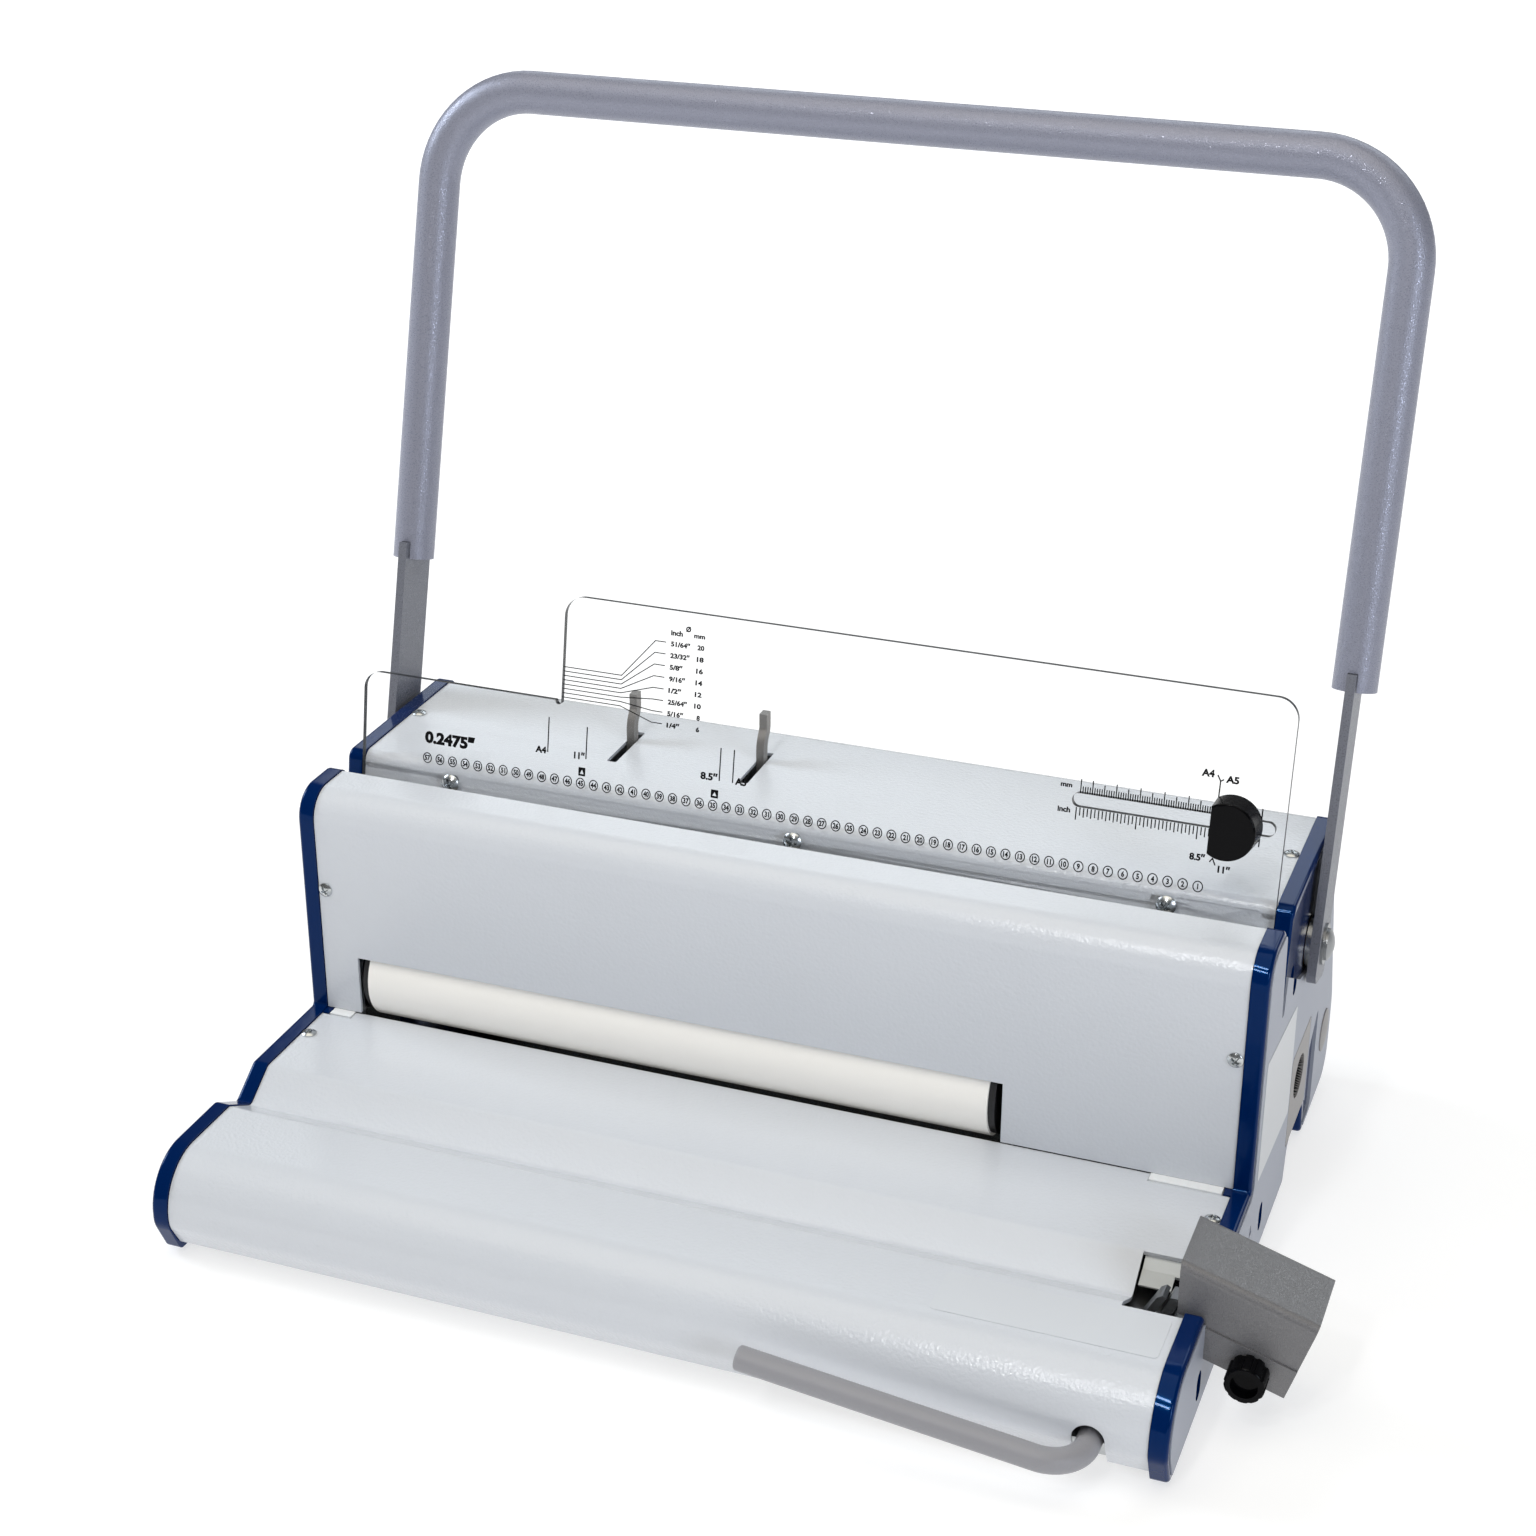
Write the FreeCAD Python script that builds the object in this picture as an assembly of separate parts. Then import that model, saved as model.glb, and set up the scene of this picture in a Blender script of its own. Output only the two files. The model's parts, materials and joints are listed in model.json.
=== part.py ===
import FreeCAD, Part

import math
import os

# A desk machine that punches a row of holes along a stack of paper, winds a plastic coil
# through them with a rubber roller, and crimps the coil's ends.
# Millimetres. X runs to the right, Y to the rear, Z up from the desk. The machine is drawn
# about its own middle plane and moved at the end, so that the origin lies in the desk plane
# under the middle of its bounding box.

# Body
body_half = 217.0
frame_thick = 8.0
frame_proud = 0.8
frame_recess = 1.0
rim_width = 3.0
rim_round = 1.8
side_sheet = 1.5
fit_gap = 0.3
seat_gap = 0.1
run_gap = 0.05
sheet = 1.5
thin_sheet = 1.0
body_height = 156.0
rear_y = 136.8
top_rear_y = 91.5
slope_foot_z = 43.0
edge_z = 2.5
front_y = -48.2
front_bend = 14.0
deck_z = 48.8
deck_edge_y = -101.5
groove_wide = 33.0
groove_deep = 10.9
roll_drop = 1.7
roll_long = 53.7
roll_bend = 24.0
roll_turn_z = 18.5
roll_turn_bend = 13.0
roll_undercut = 7.7
arch_front_y = 33.0
arch_rear_y = 76.0
arch_top_z = 20.0

# Paper slot, leaning back like the clear plate
lean_deg = 10.25
ring_rise = 2.5
paper_gap = 3.5
slot_mouth_y = -16.0
hem_gap = 2.0
hem_deep = 15.0

# Clear plate
clear_thick = 3.0
clear_low_v = -15.0
clear_step_v = 36.0
clear_top_v = 83.5
clear_step_inset = 97.1
clear_corner = 9.0
clear_relief = 2.6
guide_slot_inset = 4.0
guide_slot_long = 84.4
guide_slot_v = 28.4
guide_slot_high = 6.0

# Side guide
guide_inset = 21.6
guide_radius = 12.6
guide_front_radius = 12.0
guide_deep = 13.3
guide_flat = 6.8
guide_round = 0.8
guide_bore_deep = 8.0
guide_stud = 2.8
clamp_radius = 8.0
clamp_thick = 3.0

# Covers
front_foot_gap = 0.6
flange_gap = 0.4
top_bend = 5.0
top_rear_bend = 7.0
rear_slope_bend = 40.0
rear_foot_bend = 16.0
cover_turn_down = 16.0
cover_joint = 0.5
notch_deep = 5.6
notch_gap = 3.6
left_notch_wide = 11.0
right_notch_wide = 31.0
lever_slot_y0 = 32.0
lever_slot_y1 = 66.0
lever_slot_wide = 4.6
opening_inset = 32.2
opening_front = 19.0
arch_inset = 31.0
arch_wide = 13.0
arch_rise = 9.0

# Screws and bolts
screw_inset = 3.6
screw_head = 3.3
screw_dome = 1.7
screw_shank = 1.9
screw_long = 7.0
side_screw_head = 2.9
side_screw_dome = 1.2
top_screw_y = 48.7
front_screw_down = 46.8
deck_screw_gap = 23.0
rear_screw_z = 30.0
tab_long = 10.0
tab_half = 8.0
tab_thick = 6.0
bolt_inset = 44.7
bolt_rise = 5.5
bolt_head = 4.9
bolt_dome = 2.6
bolt_shank = 2.5
bolt_long = 9.0

# Punch
pitch = 6.2865
pin_margin = 32.0
pin_radius = 1.9
hole_radius = 1.98
pin_v = -43.0
pin_tip_u = 2.0
stop_under_pins = 5.0
punch_foot = 6.0
guide_thick = 13.0
guide_over_plate = 7.0
die_thick = 8.0
die_high = 34.0
die_lead = 2.0
ram_u0 = 33.0
ram_thick = 10.0
ram_inset = 9.0
ram_low = 7.0
ram_high = 36.0
ram_round = 1.0
rod_inset = 19.0
rod_rise = 13.0
rod_radius = 4.0
rod_seat = 8.0
rod_head = 7.0
rod_head_thick = 5.0

# Rack and pinion
gear_module = 2.0
teeth = 12
pressure_deg = 25.0
addendum = 1.8
dedendum = 2.3
backlash = 0.3
gear_inset = 59.0
gear_wide = 14.0
rack_behind = 26.0
rack_end = 3.0
rack_deep = 7.0

# Handle
pivot_y = 51.0
pivot_down = 41.5
handle_lean_deg = 15.23
handle_reach = 326.3
tube_out = 0.3
tube_radius = 9.5
tube_wall = 1.8
tube_bend = 43.0
tube_foot = 109.9
tube_notch = 8.0
tube_slit = 0.4
arm_gap = 1.2
arm_thick = 4.0
arm_deep = 25.0
arm_tail = 16.0
arm_round = 5.0
tongue_deep = 14.0
tongue_long = 30.0
shaft_radius = 8.0
bush_radius = 11.0
bush_flange = 14.0
bush_flange_thick = 2.0
spacer_radius = 11.0
spacer_hole_gap = 1.0
pivot_screw = 4.0
pivot_head = 7.0
pivot_dome = 3.5
washer_radius = 9.0
washer_thick = 1.0
pivot_screw_long = 18.0

# Size levers
lever_places = (-99.9, -36.4)
lever_thick = 3.6
lever_wide = 5.0
lever_foot_y = 38.0
lever_run_down = 14.5
lever_base_y = 56.5
lever_lean = 4.1
lever_knee = 7.0
lever_knee_long = 6.0
lever_top = 21.5
lever_bend_radius = 8.0
lever_foot_high = 6.0

# Coil roller and its drive
roller_behind = 21.2
roller_over_deck = 14.7
roller_radius = 21.8
roller_core = 12.0
roller_left_inset = 19.5
roller_right_inset = 102.0
cap_thick = 3.0
cap_radius = 20.5
journal_radius = 4.0
window_left_gap = 2.2
window_right_gap = 3.1
window_over_axis = 13.5
bracket_thick = 5.0
bracket_gap = 2.5
bracket_front = 16.0
bracket_rear = 15.0
bracket_top = 12.5
bracket_round = 8.0
pulley_gap = 4.0
pulley_wide = 10.0
pulley_flange = 0.7
pulley_rim = 1.6
roller_pulley = 12.0
motor_pulley = 8.0
motor_behind = 3.0
motor_z = 24.5
gearhead_radius = 14.5
gearhead_long = 24.0
motor_radius = 13.0
motor_long = 36.0
motor_shaft = 2.5
motor_shaft_long = 8.0
motor_plate = 3.0
motor_plate_half = 16.0
motor_plate_gap = 3.0
belt_wide = 8.0
belt_thick = 1.4

# Rail under the deck's rear edge
rail_front = 10.8
rail_rear = 3.2
rail_high = 6.5
rail_pad_deep = 5.0
rail_pad_up = 0.5

# Base
base_z = 4.0
base_sheet = 1.5
base_front_gap = 12.2
base_rear_gap = 20.8
base_lip = 7.0
base_bend = 3.0
rear_hem_gap = 2.0
foot_radius = 9.0
foot_chamfer = 0.8
foot_inset = 27.0
foot_front_gap = 28.2
foot_rear_gap = 36.8

# Chip drawer and chute
drawer_y0 = 32.0
drawer_y1 = 71.0
drawer_z0 = 25.2
drawer_z1 = 61.0
drawer_inset = 39.0
drawer_wall = 1.2
drawer_hole_gap = 0.6
panel_thick = 2.5
panel_front_lap = 1.9
panel_rear_lap = 1.3
panel_low_lap = 2.1
panel_top_lap = 5.4
panel_round = 2.4
finger_rear = 20.4
finger_up = 24.9
finger_wide = 19.0
finger_high = 23.0
chute_under_die = 3.4
chute_lip = 8.0
chute_over_roller = 3.0
chute_behind_roller = 6.0
chute_over_drawer = 5.0
rail_foot = 10.0
rail_front_in = 4.0
rail_rear_in = 14.0

# Sockets on the left side
inlet_gap = 36.8
inlet_z = 60.0
inlet_wide = 28.0
inlet_high = 50.0
inlet_flange = 2.0
inlet_round = 3.0
inlet_wall = 1.8
inlet_deep = 24.0
socket_wide = 24.0
socket_high = 16.5
socket_deep = 16.0
socket_down = 10.0
socket_pin_deep = 10.0
socket_pin = 2.0
socket_pin_high = 4.0
socket_pin_out = 7.0
socket_pin_down = 2.0
rocker_wide = 19.0
rocker_high = 12.0
rocker_up = 15.0
rocker_gap = 0.4
rocker_well = 11.0
rocker_sink = 4.0
rocker_back = 3.0
rocker_out = 6.2
rocker_dip = 1.2
rocker_swing_deg = 14.0
supply_inset = 19.0
supply_long = 65.0
supply_gap = 9.0
supply_deep = 30.0
board_rise = 4.0
board_thick = 1.6
post_radius = 2.5
post_inset = 4.0
coil_block_inset = 8.0
coil_block_long = 32.0
coil_block_high = 26.5
coil_block_edge = 3.0
can_radius = 5.0
can_high = 16.0
can_inset = 12.0

# Crimper on the right
crimp_deg = 17.3
crimp_inset = 11.8
crimp_over_deck = 19.7
hood_long = 57.0
hood_high = 22.0
hood_front = 15.0
hood_deep = 36.0
hood_sheet = 1.2
hood_bend = 3.5
hood_left_inset = 3.4
hood_clear = 1.0
casting_low = 35.7
casting_ledge = 0.9
casting_in = 20.0
neck_low = 17.0
notch_under_deck = 7.8
knob_along = 41.0
knob_down = 31.4
knob_radius = 8.0
knob_long = 10.0
knob_grips = 10
knob_grip = 1.2
knob_dish = 4.0
knob_dish_radius = 5.4
knob_screw = 2.0
knob_screw_long = 17.0
lever_rod = 5.0
lever_shaft_z = 17.5
lever_bend = 16.0
lever_front_gap = 14.8
lever_rise_deg = 6.62
lever_run_long = 134.0
lever_tip_round = 1.2
block_inset = 33.0
block_under_groove = 4.4
block_front = 21.0
block_deep = 35.0
block_slot_z = 24.0
jaw_front = 11.0
jaw_wide = 8.0
jaw_gap = 0.5
jaw_pin_out = 2.5
jaw_pin_down = 4.2
jaw_pin_long = 20.0
jaw_pin_in = 3.0
jaw_pin = 2.5
jaw_eye = 4.0
jaw_thick = 3.0
jaw_tip_out = 13.0
jaw_tip_up = 10.6
anvil_inset = 5.0
anvil_lean = 6.0
anvil_thick = 4.0
anvil_knee = 9.0
stop_gap = 0.4
stop_thick = 1.0
stop_knee = 11.0
stop_lean = 2.2
stop_down = 5.0
lip_gap = 0.4
lip_back = 5.0
lip_drop = 3.1
lip_front = 5.1
lip_tip_front = 11.7
lip_tip_drop = 6.1
lip_relief = 4.0
crank_long = 12.0
crank_thick = 4.0
crank_hub = 3.5
crank_half = 3.0

# Cut-out in the side plates beside the pivot
cut_out_front_rise = 15.0
cut_out_middle = 24.0
cut_out_middle_drop = 5.8
cut_out_rear = 3.7
cut_out_rear_drop = 12.1

# Holes in the side plates
side_hole_wide = 7.5
side_hole_high = 13.0
side_screw_sink = 2.5
tri_hole = (-46.0, 29.5)
tri_half = 3.0
cap_gap = 21.8
cap_z = 35.5
side_cap_radius = 10.0
side_cap_dome = 1.5
window_y0 = 75.0
window_y1 = 93.0
window_z0 = 7.5
window_z1 = 60.0
window_slant = 12.0

# Derived places
lean_cos = math.cos(math.radians(lean_deg))
lean_sin = math.sin(math.radians(lean_deg))
frame_inner = body_half - frame_thick
frame_outer = body_half - side_sheet + frame_recess
plate_seat = frame_outer - frame_recess
side_seat = plate_seat - side_screw_sink
cover_half = frame_inner - fit_gap
clear_half = cover_half
cover_top = body_height - frame_proud
ring_z = body_height + ring_rise
groove_y = deck_edge_y - groove_wide / 2
roll_rise_y = groove_y - groove_wide / 2
roll_front_y = roll_rise_y - roll_long
roll_foot_y = roll_front_y + roll_undercut
groove_z = deck_z - groove_deep
roll_z = deck_z - roll_drop
hem_y = slot_mouth_y - hem_gap
hem_z = body_height - hem_deep
front_foot_z = deck_z - frame_proud + front_foot_gap
slot_middle_y = slot_mouth_y / 2 - 2
flange_v = clear_low_v + flange_gap
bolt_x = clear_half - bolt_inset
bolt_v = clear_low_v + bolt_rise
clear_step_x = clear_step_inset - clear_half
guide_slot_x1 = clear_half - guide_slot_inset
guide_slot_x0 = guide_slot_x1 - guide_slot_long
guide_x = clear_half - guide_inset
notches = (
    (notch_gap - frame_inner, notch_gap + left_notch_wide - frame_inner),
    (frame_inner - notch_gap - right_notch_wide, frame_inner - notch_gap),
)
opening_x0 = body_half - opening_inset
opening_y0 = groove_y - opening_front
arch_x = body_half - arch_inset
arch_z = lever_shaft_z + arch_rise
screw_x = frame_inner - screw_inset
front_screw_z = body_height - front_screw_down
deck_screw_y = front_y - deck_screw_gap
tab_x = frame_inner - tab_long
pin_count = 2 * math.floor((frame_inner - pin_margin) / pitch) + 1
paper_stop_v = pin_v - stop_under_pins
punch_low_v = paper_stop_v - punch_foot
guide_top_v = clear_low_v + guide_over_plate
die_top_v = punch_low_v + die_high
ram_half = frame_inner - ram_inset
ram_low_v = pin_v - ram_low
ram_top_v = ram_low_v + ram_high
rod_x = frame_inner - rod_inset
rod_v = pin_v + rod_rise
gear_x = frame_inner - gear_inset
pinion_radius = gear_module * teeth / 2
pivot_z = body_height - pivot_down
arm_x = body_half + arm_gap + arm_thick / 2
tube_x = arm_x + tube_out
lever_run_z = body_height - lever_run_down
roller_y = front_y + roller_behind
roller_z = deck_z + roller_over_deck
roller_x0 = roller_left_inset - frame_inner
roller_x1 = frame_inner - roller_right_inset
roller_window_x0 = roller_x0 - window_left_gap
roller_window_x1 = roller_x1 + window_right_gap
roller_window_z = roller_z + window_over_axis
motor_y = roller_y + motor_behind
rail_y0 = front_y - rail_front
rail_y1 = front_y + rail_rear
base_front_y = roll_front_y + base_front_gap
base_rear_y = rear_y - base_rear_gap
bar_bottom = base_z + base_sheet
foot_x = body_half - foot_inset
foot_front_y = roll_front_y + foot_front_gap
foot_rear_y = rear_y - foot_rear_gap
drawer_front_x = body_half - panel_thick
drawer_x0 = drawer_inset - frame_inner
panel_y0 = drawer_y0 - panel_front_lap
panel_y1 = drawer_y1 + panel_rear_lap
panel_z0 = drawer_z0 - panel_low_lap
panel_z1 = drawer_z1 + panel_top_lap
finger_y = panel_y0 + finger_rear
finger_z = panel_z0 + finger_up
chute_half = tab_x - thin_sheet
inlet_y = rear_y - inlet_gap
socket_z = inlet_z - socket_down
rocker_z = inlet_z + rocker_up
supply_x0 = supply_inset - frame_inner
supply_x1 = supply_x0 + supply_long
supply_y0 = drawer_y1 + supply_gap
supply_y1 = supply_y0 + supply_deep
crimp_x = body_half - crimp_inset
crimp_z = deck_z + crimp_over_deck
hood_y0 = groove_y - hood_front
hood_y1 = hood_y0 + hood_deep
casting_y0 = hood_y0 - casting_ledge
hood_left_x = frame_inner - hood_left_inset
notch_z = deck_z - notch_under_deck
block_x0 = frame_inner - block_inset
block_z1 = groove_z - block_under_groove
block_y0 = groove_y - block_front
block_y1 = block_y0 + block_deep
lever_front_y = roll_front_y - lever_front_gap
jaw_y0 = groove_y - jaw_front
jaw_y1 = jaw_y0 + jaw_wide
jaw_pin_x = arch_x + jaw_pin_out
jaw_pin_z = block_z1 - jaw_pin_down
jaw_tip_x = arch_x + jaw_tip_out
jaw_tip_z = groove_z + jaw_tip_up
anvil_x = frame_inner - anvil_inset
side_holes = (
    (14.0, body_height - 41.0),
    (-23.5, 22.0),
    (groove_y - 20.5, 18.0),
)
cap_y = rear_y - cap_gap


def lean_point(u, v):
    """Y and Z of a point u behind the plate's front face and v up along it."""
    return (u * lean_cos + v * lean_sin, ring_z - u * lean_sin + v * lean_cos)


pivot_u = pivot_y * lean_cos - (pivot_z - ring_z) * lean_sin
pivot_v = pivot_y * lean_sin + (pivot_z - ring_z) * lean_cos
rack_v = pivot_v + pinion_radius
rack_rear_u = pivot_u + rack_behind


def vector(x, y, z):
    return FreeCAD.Vector(x, y, z)


def on_yz(x):
    return lambda a, b: vector(x, a, b)


def on_xz(y):
    return lambda a, b: vector(a, y, b)


def on_xy(z):
    return lambda a, b: vector(a, b, z)


def on_lean(u):
    """Plane parallel to the clear plate, u behind its front face."""
    def place(a, b):
        y, z = lean_point(u, b)
        return vector(a, y, z)
    return place


lean_normal = vector(0, lean_cos, -lean_sin)


def corner(before, here, after, radius):
    """Start, middle and end of the arc that rounds one corner, or the bare corner."""
    ax, ay = before[0] - here[0], before[1] - here[1]
    bx, by = after[0] - here[0], after[1] - here[1]
    a_long = math.hypot(ax, ay)
    b_long = math.hypot(bx, by)
    cosine = max(-1.0, min(1.0, (ax * bx + ay * by) / (a_long * b_long)))
    half = math.acos(cosine) / 2
    if radius <= 0 or half > math.pi / 2 - 0.001:
        return None
    cut = radius / math.tan(half)
    start = (here[0] + ax / a_long * cut, here[1] + ay / a_long * cut)
    end = (here[0] + bx / b_long * cut, here[1] + by / b_long * cut)
    mx, my = ax / a_long + bx / b_long, ay / a_long + by / b_long
    m_long = math.hypot(mx, my)
    reach = radius / math.sin(half) - radius
    middle = (here[0] + mx / m_long * reach, here[1] + my / m_long * reach)
    return start, middle, end


def edges_through(points, place, closed):
    """Lines and tangent arcs through points given as (a, b) or (a, b, radius)."""
    count = len(points)
    edges = []
    first = None
    last = None
    for i, point in enumerate(points):
        radius = point[2] if len(point) > 2 else 0
        inside = closed or 0 < i < count - 1
        arc = None
        if inside and radius > 0:
            arc = corner(points[i - 1], point, points[(i + 1) % count], radius)
        start = arc[0] if arc else point[:2]
        end = arc[2] if arc else point[:2]
        if last is not None and math.dist(last, start) > 1e-4:
            edges.append(Part.LineSegment(place(*last), place(*start)).toShape())
        if arc:
            edges.append(Part.Arc(place(*start), place(*arc[1]), place(*end)).toShape())
        if first is None:
            first = start
        last = end
    if closed and math.dist(last, first) > 1e-4:
        edges.append(Part.LineSegment(place(*last), place(*first)).toShape())
    return edges


def prism(points, place, way):
    """Solid pushed along a vector from a closed outline."""
    return Part.Face(Part.Wire(edges_through(points, place, True))).extrude(way)


def x_prism(points, x0, x1):
    return prism(points, on_yz(x0), vector(x1 - x0, 0, 0))


def y_prism(points, y0, y1):
    return prism(points, on_xz(y0), vector(0, y1 - y0, 0))


def lean_prism(points, x0, x1):
    """Solid along X from an outline given in u and v."""
    return x_prism([lean_point(p[0], p[1]) + tuple(p[2:]) for p in points], x0, x1)


def box(x0, x1, y0, y1, z0, z1):
    return Part.makeBox(x1 - x0, y1 - y0, z1 - z0, vector(x0, y0, z0))


def rod(radius, start, way, length):
    return Part.makeCylinder(radius, length, start, way)


def offset(points, distances, closed):
    """Outline moved to the left of its travel, each side by its own distance."""
    count = len(points)
    sides = count if closed else count - 1
    if not isinstance(distances, (list, tuple)):
        distances = [distances] * sides
    lines = []
    for i in range(sides):
        a, b = points[i], points[(i + 1) % count]
        long = math.hypot(b[0] - a[0], b[1] - a[1])
        dx, dy = (b[0] - a[0]) / long, (b[1] - a[1]) / long
        lines.append((a[0] - dy * distances[i], a[1] + dx * distances[i], dx, dy))
    moved = []
    for i, point in enumerate(points):
        radius = point[2] if len(point) > 2 else 0
        if not closed and i == 0:
            moved.append((lines[0][0], lines[0][1], 0))
            continue
        if not closed and i == count - 1:
            x, y, dx, dy = lines[-1]
            long = math.hypot(points[-1][0] - points[-2][0], points[-1][1] - points[-2][1])
            moved.append((x + dx * long, y + dy * long, 0))
            continue
        x1, y1, dx1, dy1 = lines[i - 1]
        x2, y2, dx2, dy2 = lines[i % sides]
        cross = dx1 * dy2 - dy1 * dx2
        t = ((x2 - x1) * dy2 - (y2 - y1) * dx2) / cross
        change = (distances[i - 1] + distances[i % sides]) / 2
        if radius > 0:
            radius = max(radius - change if cross > 0 else radius + change, 0.3)
        moved.append((x1 + dx1 * t, y1 + dy1 * t, radius))
    return moved


def bent_sheet(path, thickness):
    """Closed outline of a sheet whose outer face follows the path, metal on its left."""
    return list(path) + offset(path, thickness, False)[::-1]


def joined(shapes):
    return shapes[0].fuse(shapes[1:]).removeSplitter() if len(shapes) > 1 else shapes[0]


def group(shapes):
    return Part.makeCompound(shapes)


def placed(shape, point, axis):
    """A shape drawn about Z, moved to a point and turned to an axis."""
    shape.Placement = FreeCAD.Placement(point, FreeCAD.Rotation(vector(0, 0, 1), axis))
    return shape


def dome_screw(point, axis, head, dome, shank, length):
    """Screw with a domed head that stands on the point, shank pointing against the axis."""
    rim = dome * 0.35
    cap = dome - rim
    ball = (head * head + cap * cap) / (2 * cap)
    half = math.asin(head / ball) / 2
    bend = (ball * math.sin(half), dome - ball + ball * math.cos(half))
    profile = [
        Part.LineSegment(vector(0, 0, -length), vector(shank, 0, -length)).toShape(),
        Part.LineSegment(vector(shank, 0, -length), vector(shank, 0, 0)).toShape(),
        Part.LineSegment(vector(shank, 0, 0), vector(head, 0, 0)).toShape(),
        Part.LineSegment(vector(head, 0, 0), vector(head, 0, rim)).toShape(),
        Part.Arc(vector(head, 0, rim), vector(bend[0], 0, bend[1]), vector(0, 0, dome)).toShape(),
        Part.LineSegment(vector(0, 0, dome), vector(0, 0, -length)).toShape(),
    ]
    face = Part.Face(Part.Wire(profile))
    solid = face.revolve(vector(0, 0, 0), vector(0, 0, 1), 360)
    return placed(solid, point, axis)


def frame_outline():
    """Side outline from the rear top edge over the front and back along the foot."""
    back_y, back_z = lean_point(0, (body_height - ring_z) / lean_cos)
    low_back = lean_point(0, paper_stop_v)
    low_front = lean_point(-paper_gap, paper_stop_v)
    return [
        (top_rear_y, body_height, 8),
        (back_y, back_z, top_bend),
        (low_back[0], low_back[1], 1.5),
        (low_front[0], low_front[1], 1.5),
        (slot_mouth_y, body_height, 6),
        (front_y, body_height, front_bend),
        (front_y, deck_z, 1.5),
        (deck_edge_y, deck_z, 3),
        (groove_y, groove_z, 3),
        (roll_rise_y, roll_z, 3),
        (roll_front_y, roll_z, roll_bend),
        (roll_front_y, roll_turn_z, roll_turn_bend),
        (roll_foot_y, edge_z, 4),
        (arch_front_y, edge_z, 3),
        (arch_front_y + 5, arch_top_z, 4),
        (arch_rear_y - 3, arch_top_z, 4),
        (arch_rear_y, edge_z, 3),
        (rear_y, edge_z, rear_foot_bend),
        (rear_y, slope_foot_z, rear_slope_bend),
    ]


def plate_outline(gap):
    """Outline of the side plate, which stops short of the frame's rounded rim."""
    insets = [rim_width + gap] * len(frame_outline())
    for i in (1, 2, 3):
        insets[i] = 0.6 + gap
    return offset(frame_outline(), insets, True)


def long_hole(y, z, wide, high, x0, x1):
    """Upright slot with round ends, cut along X."""
    r = wide / 2 - 0.01
    return x_prism(
        [
            (y - wide / 2, z - high / 2, r),
            (y + wide / 2, z - high / 2, r),
            (y + wide / 2, z + high / 2, r),
            (y - wide / 2, z + high / 2, r),
        ],
        x0,
        x1,
    )


def frame_tabs():
    """Blocks inside the frame that take the cover screws, and the nib in the deck's notch."""
    top = cover_top - sheet
    face_y = front_y + frame_proud + sheet
    under_deck = deck_z - frame_proud - sheet
    rear = rear_y - frame_proud - sheet
    x1 = frame_inner + 0.5
    return [
        box(tab_x, x1, top_screw_y - tab_half, top_screw_y + tab_half, top - tab_thick, top),
        box(tab_x, x1, face_y, face_y + tab_thick, front_screw_z - tab_half, front_screw_z + tab_half),
        box(tab_x, x1, deck_screw_y - tab_half, deck_screw_y + tab_half,
            under_deck - tab_thick, under_deck),
        box(tab_x, x1, rear - tab_thick, rear, rear_screw_z - tab_half, rear_screw_z + tab_half * 0.5),
        box(frame_inner - notch_gap + fit_gap, x1, front_y + frame_proud - rail_pad_deep,
            front_y + frame_proud - fit_gap, under_deck + seat_gap, deck_z - frame_proud + rail_pad_up),
    ]


def screw_places():
    """Head seat and axis of each cover screw on the right side."""
    return [
        (vector(screw_x, top_screw_y, cover_top), vector(0, 0, 1)),
        (vector(screw_x, front_y + frame_proud, front_screw_z), vector(0, -1, 0)),
        (vector(screw_x, deck_screw_y, deck_z - frame_proud), vector(0, 0, 1)),
        (vector(screw_x, rear_y - frame_proud, rear_screw_z), vector(0, 1, 0)),
    ]


def screw_holes(sides):
    """Clearance cylinders for the cover screws, for one side or both."""
    holes = []
    for side in sides:
        for point, axis in screw_places():
            start = vector(point.x * side, point.y, point.z) + axis * screw_dome
            holes.append(rod(screw_shank + run_gap, start, axis * -1, screw_long + screw_dome))
    return holes


def frame_body():
    """Right side frame with its rounded rim, plate recess, tabs and shaft bore."""
    body = x_prism(frame_outline(), frame_inner, frame_outer)
    rim = [e for e in body.Edges if all(abs(v.X - frame_outer) < 0.001 for v in e.Vertexes)]
    body = body.makeFillet(rim_round, rim)
    recess = x_prism(plate_outline(0), plate_seat, body_half)
    body = body.cut(recess)
    body = joined([body] + frame_tabs())
    cuts = [rod(bush_radius, vector(frame_inner - 1, pivot_y, pivot_z), vector(1, 0, 0), 12)]
    for y, z in side_holes:
        cuts.append(rod(screw_shank + run_gap, vector(frame_inner - 1, y, z), vector(1, 0, 0), 12))
        cuts.append(long_hole(y, z, side_hole_wide, side_hole_high, side_seat, body_half))
    return body.cut(cuts + screw_holes((1,)))


def mirrored(shape):
    return shape.mirror(vector(0, 0, 0), vector(1, 0, 0))


def drawer_hole(x0, x1):
    gap = drawer_hole_gap
    radius = panel_round + gap
    return x_prism(
        [
            (panel_y0 - gap, panel_z0 - gap, radius),
            (panel_y1 + gap, panel_z0 - gap, radius),
            (panel_y1 + gap, panel_z1 + gap, radius),
            (panel_y0 - gap, panel_z1 + gap, radius),
        ],
        x0,
        x1,
    )


def hood_notch(x0, x1):
    """Room for the crimper's hood above the groove."""
    return box(x0, x1, hood_y0 - hood_clear, hood_y1 + hood_clear, notch_z, body_height)


def inlet_hole(x0, x1):
    half_wide = inlet_wide / 2 - inlet_wall + fit_gap
    half_high = inlet_high / 2 - inlet_wall + fit_gap
    return box(x0, x1, inlet_y - half_wide, inlet_y + half_wide, inlet_z - half_high, inlet_z + half_high)


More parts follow.
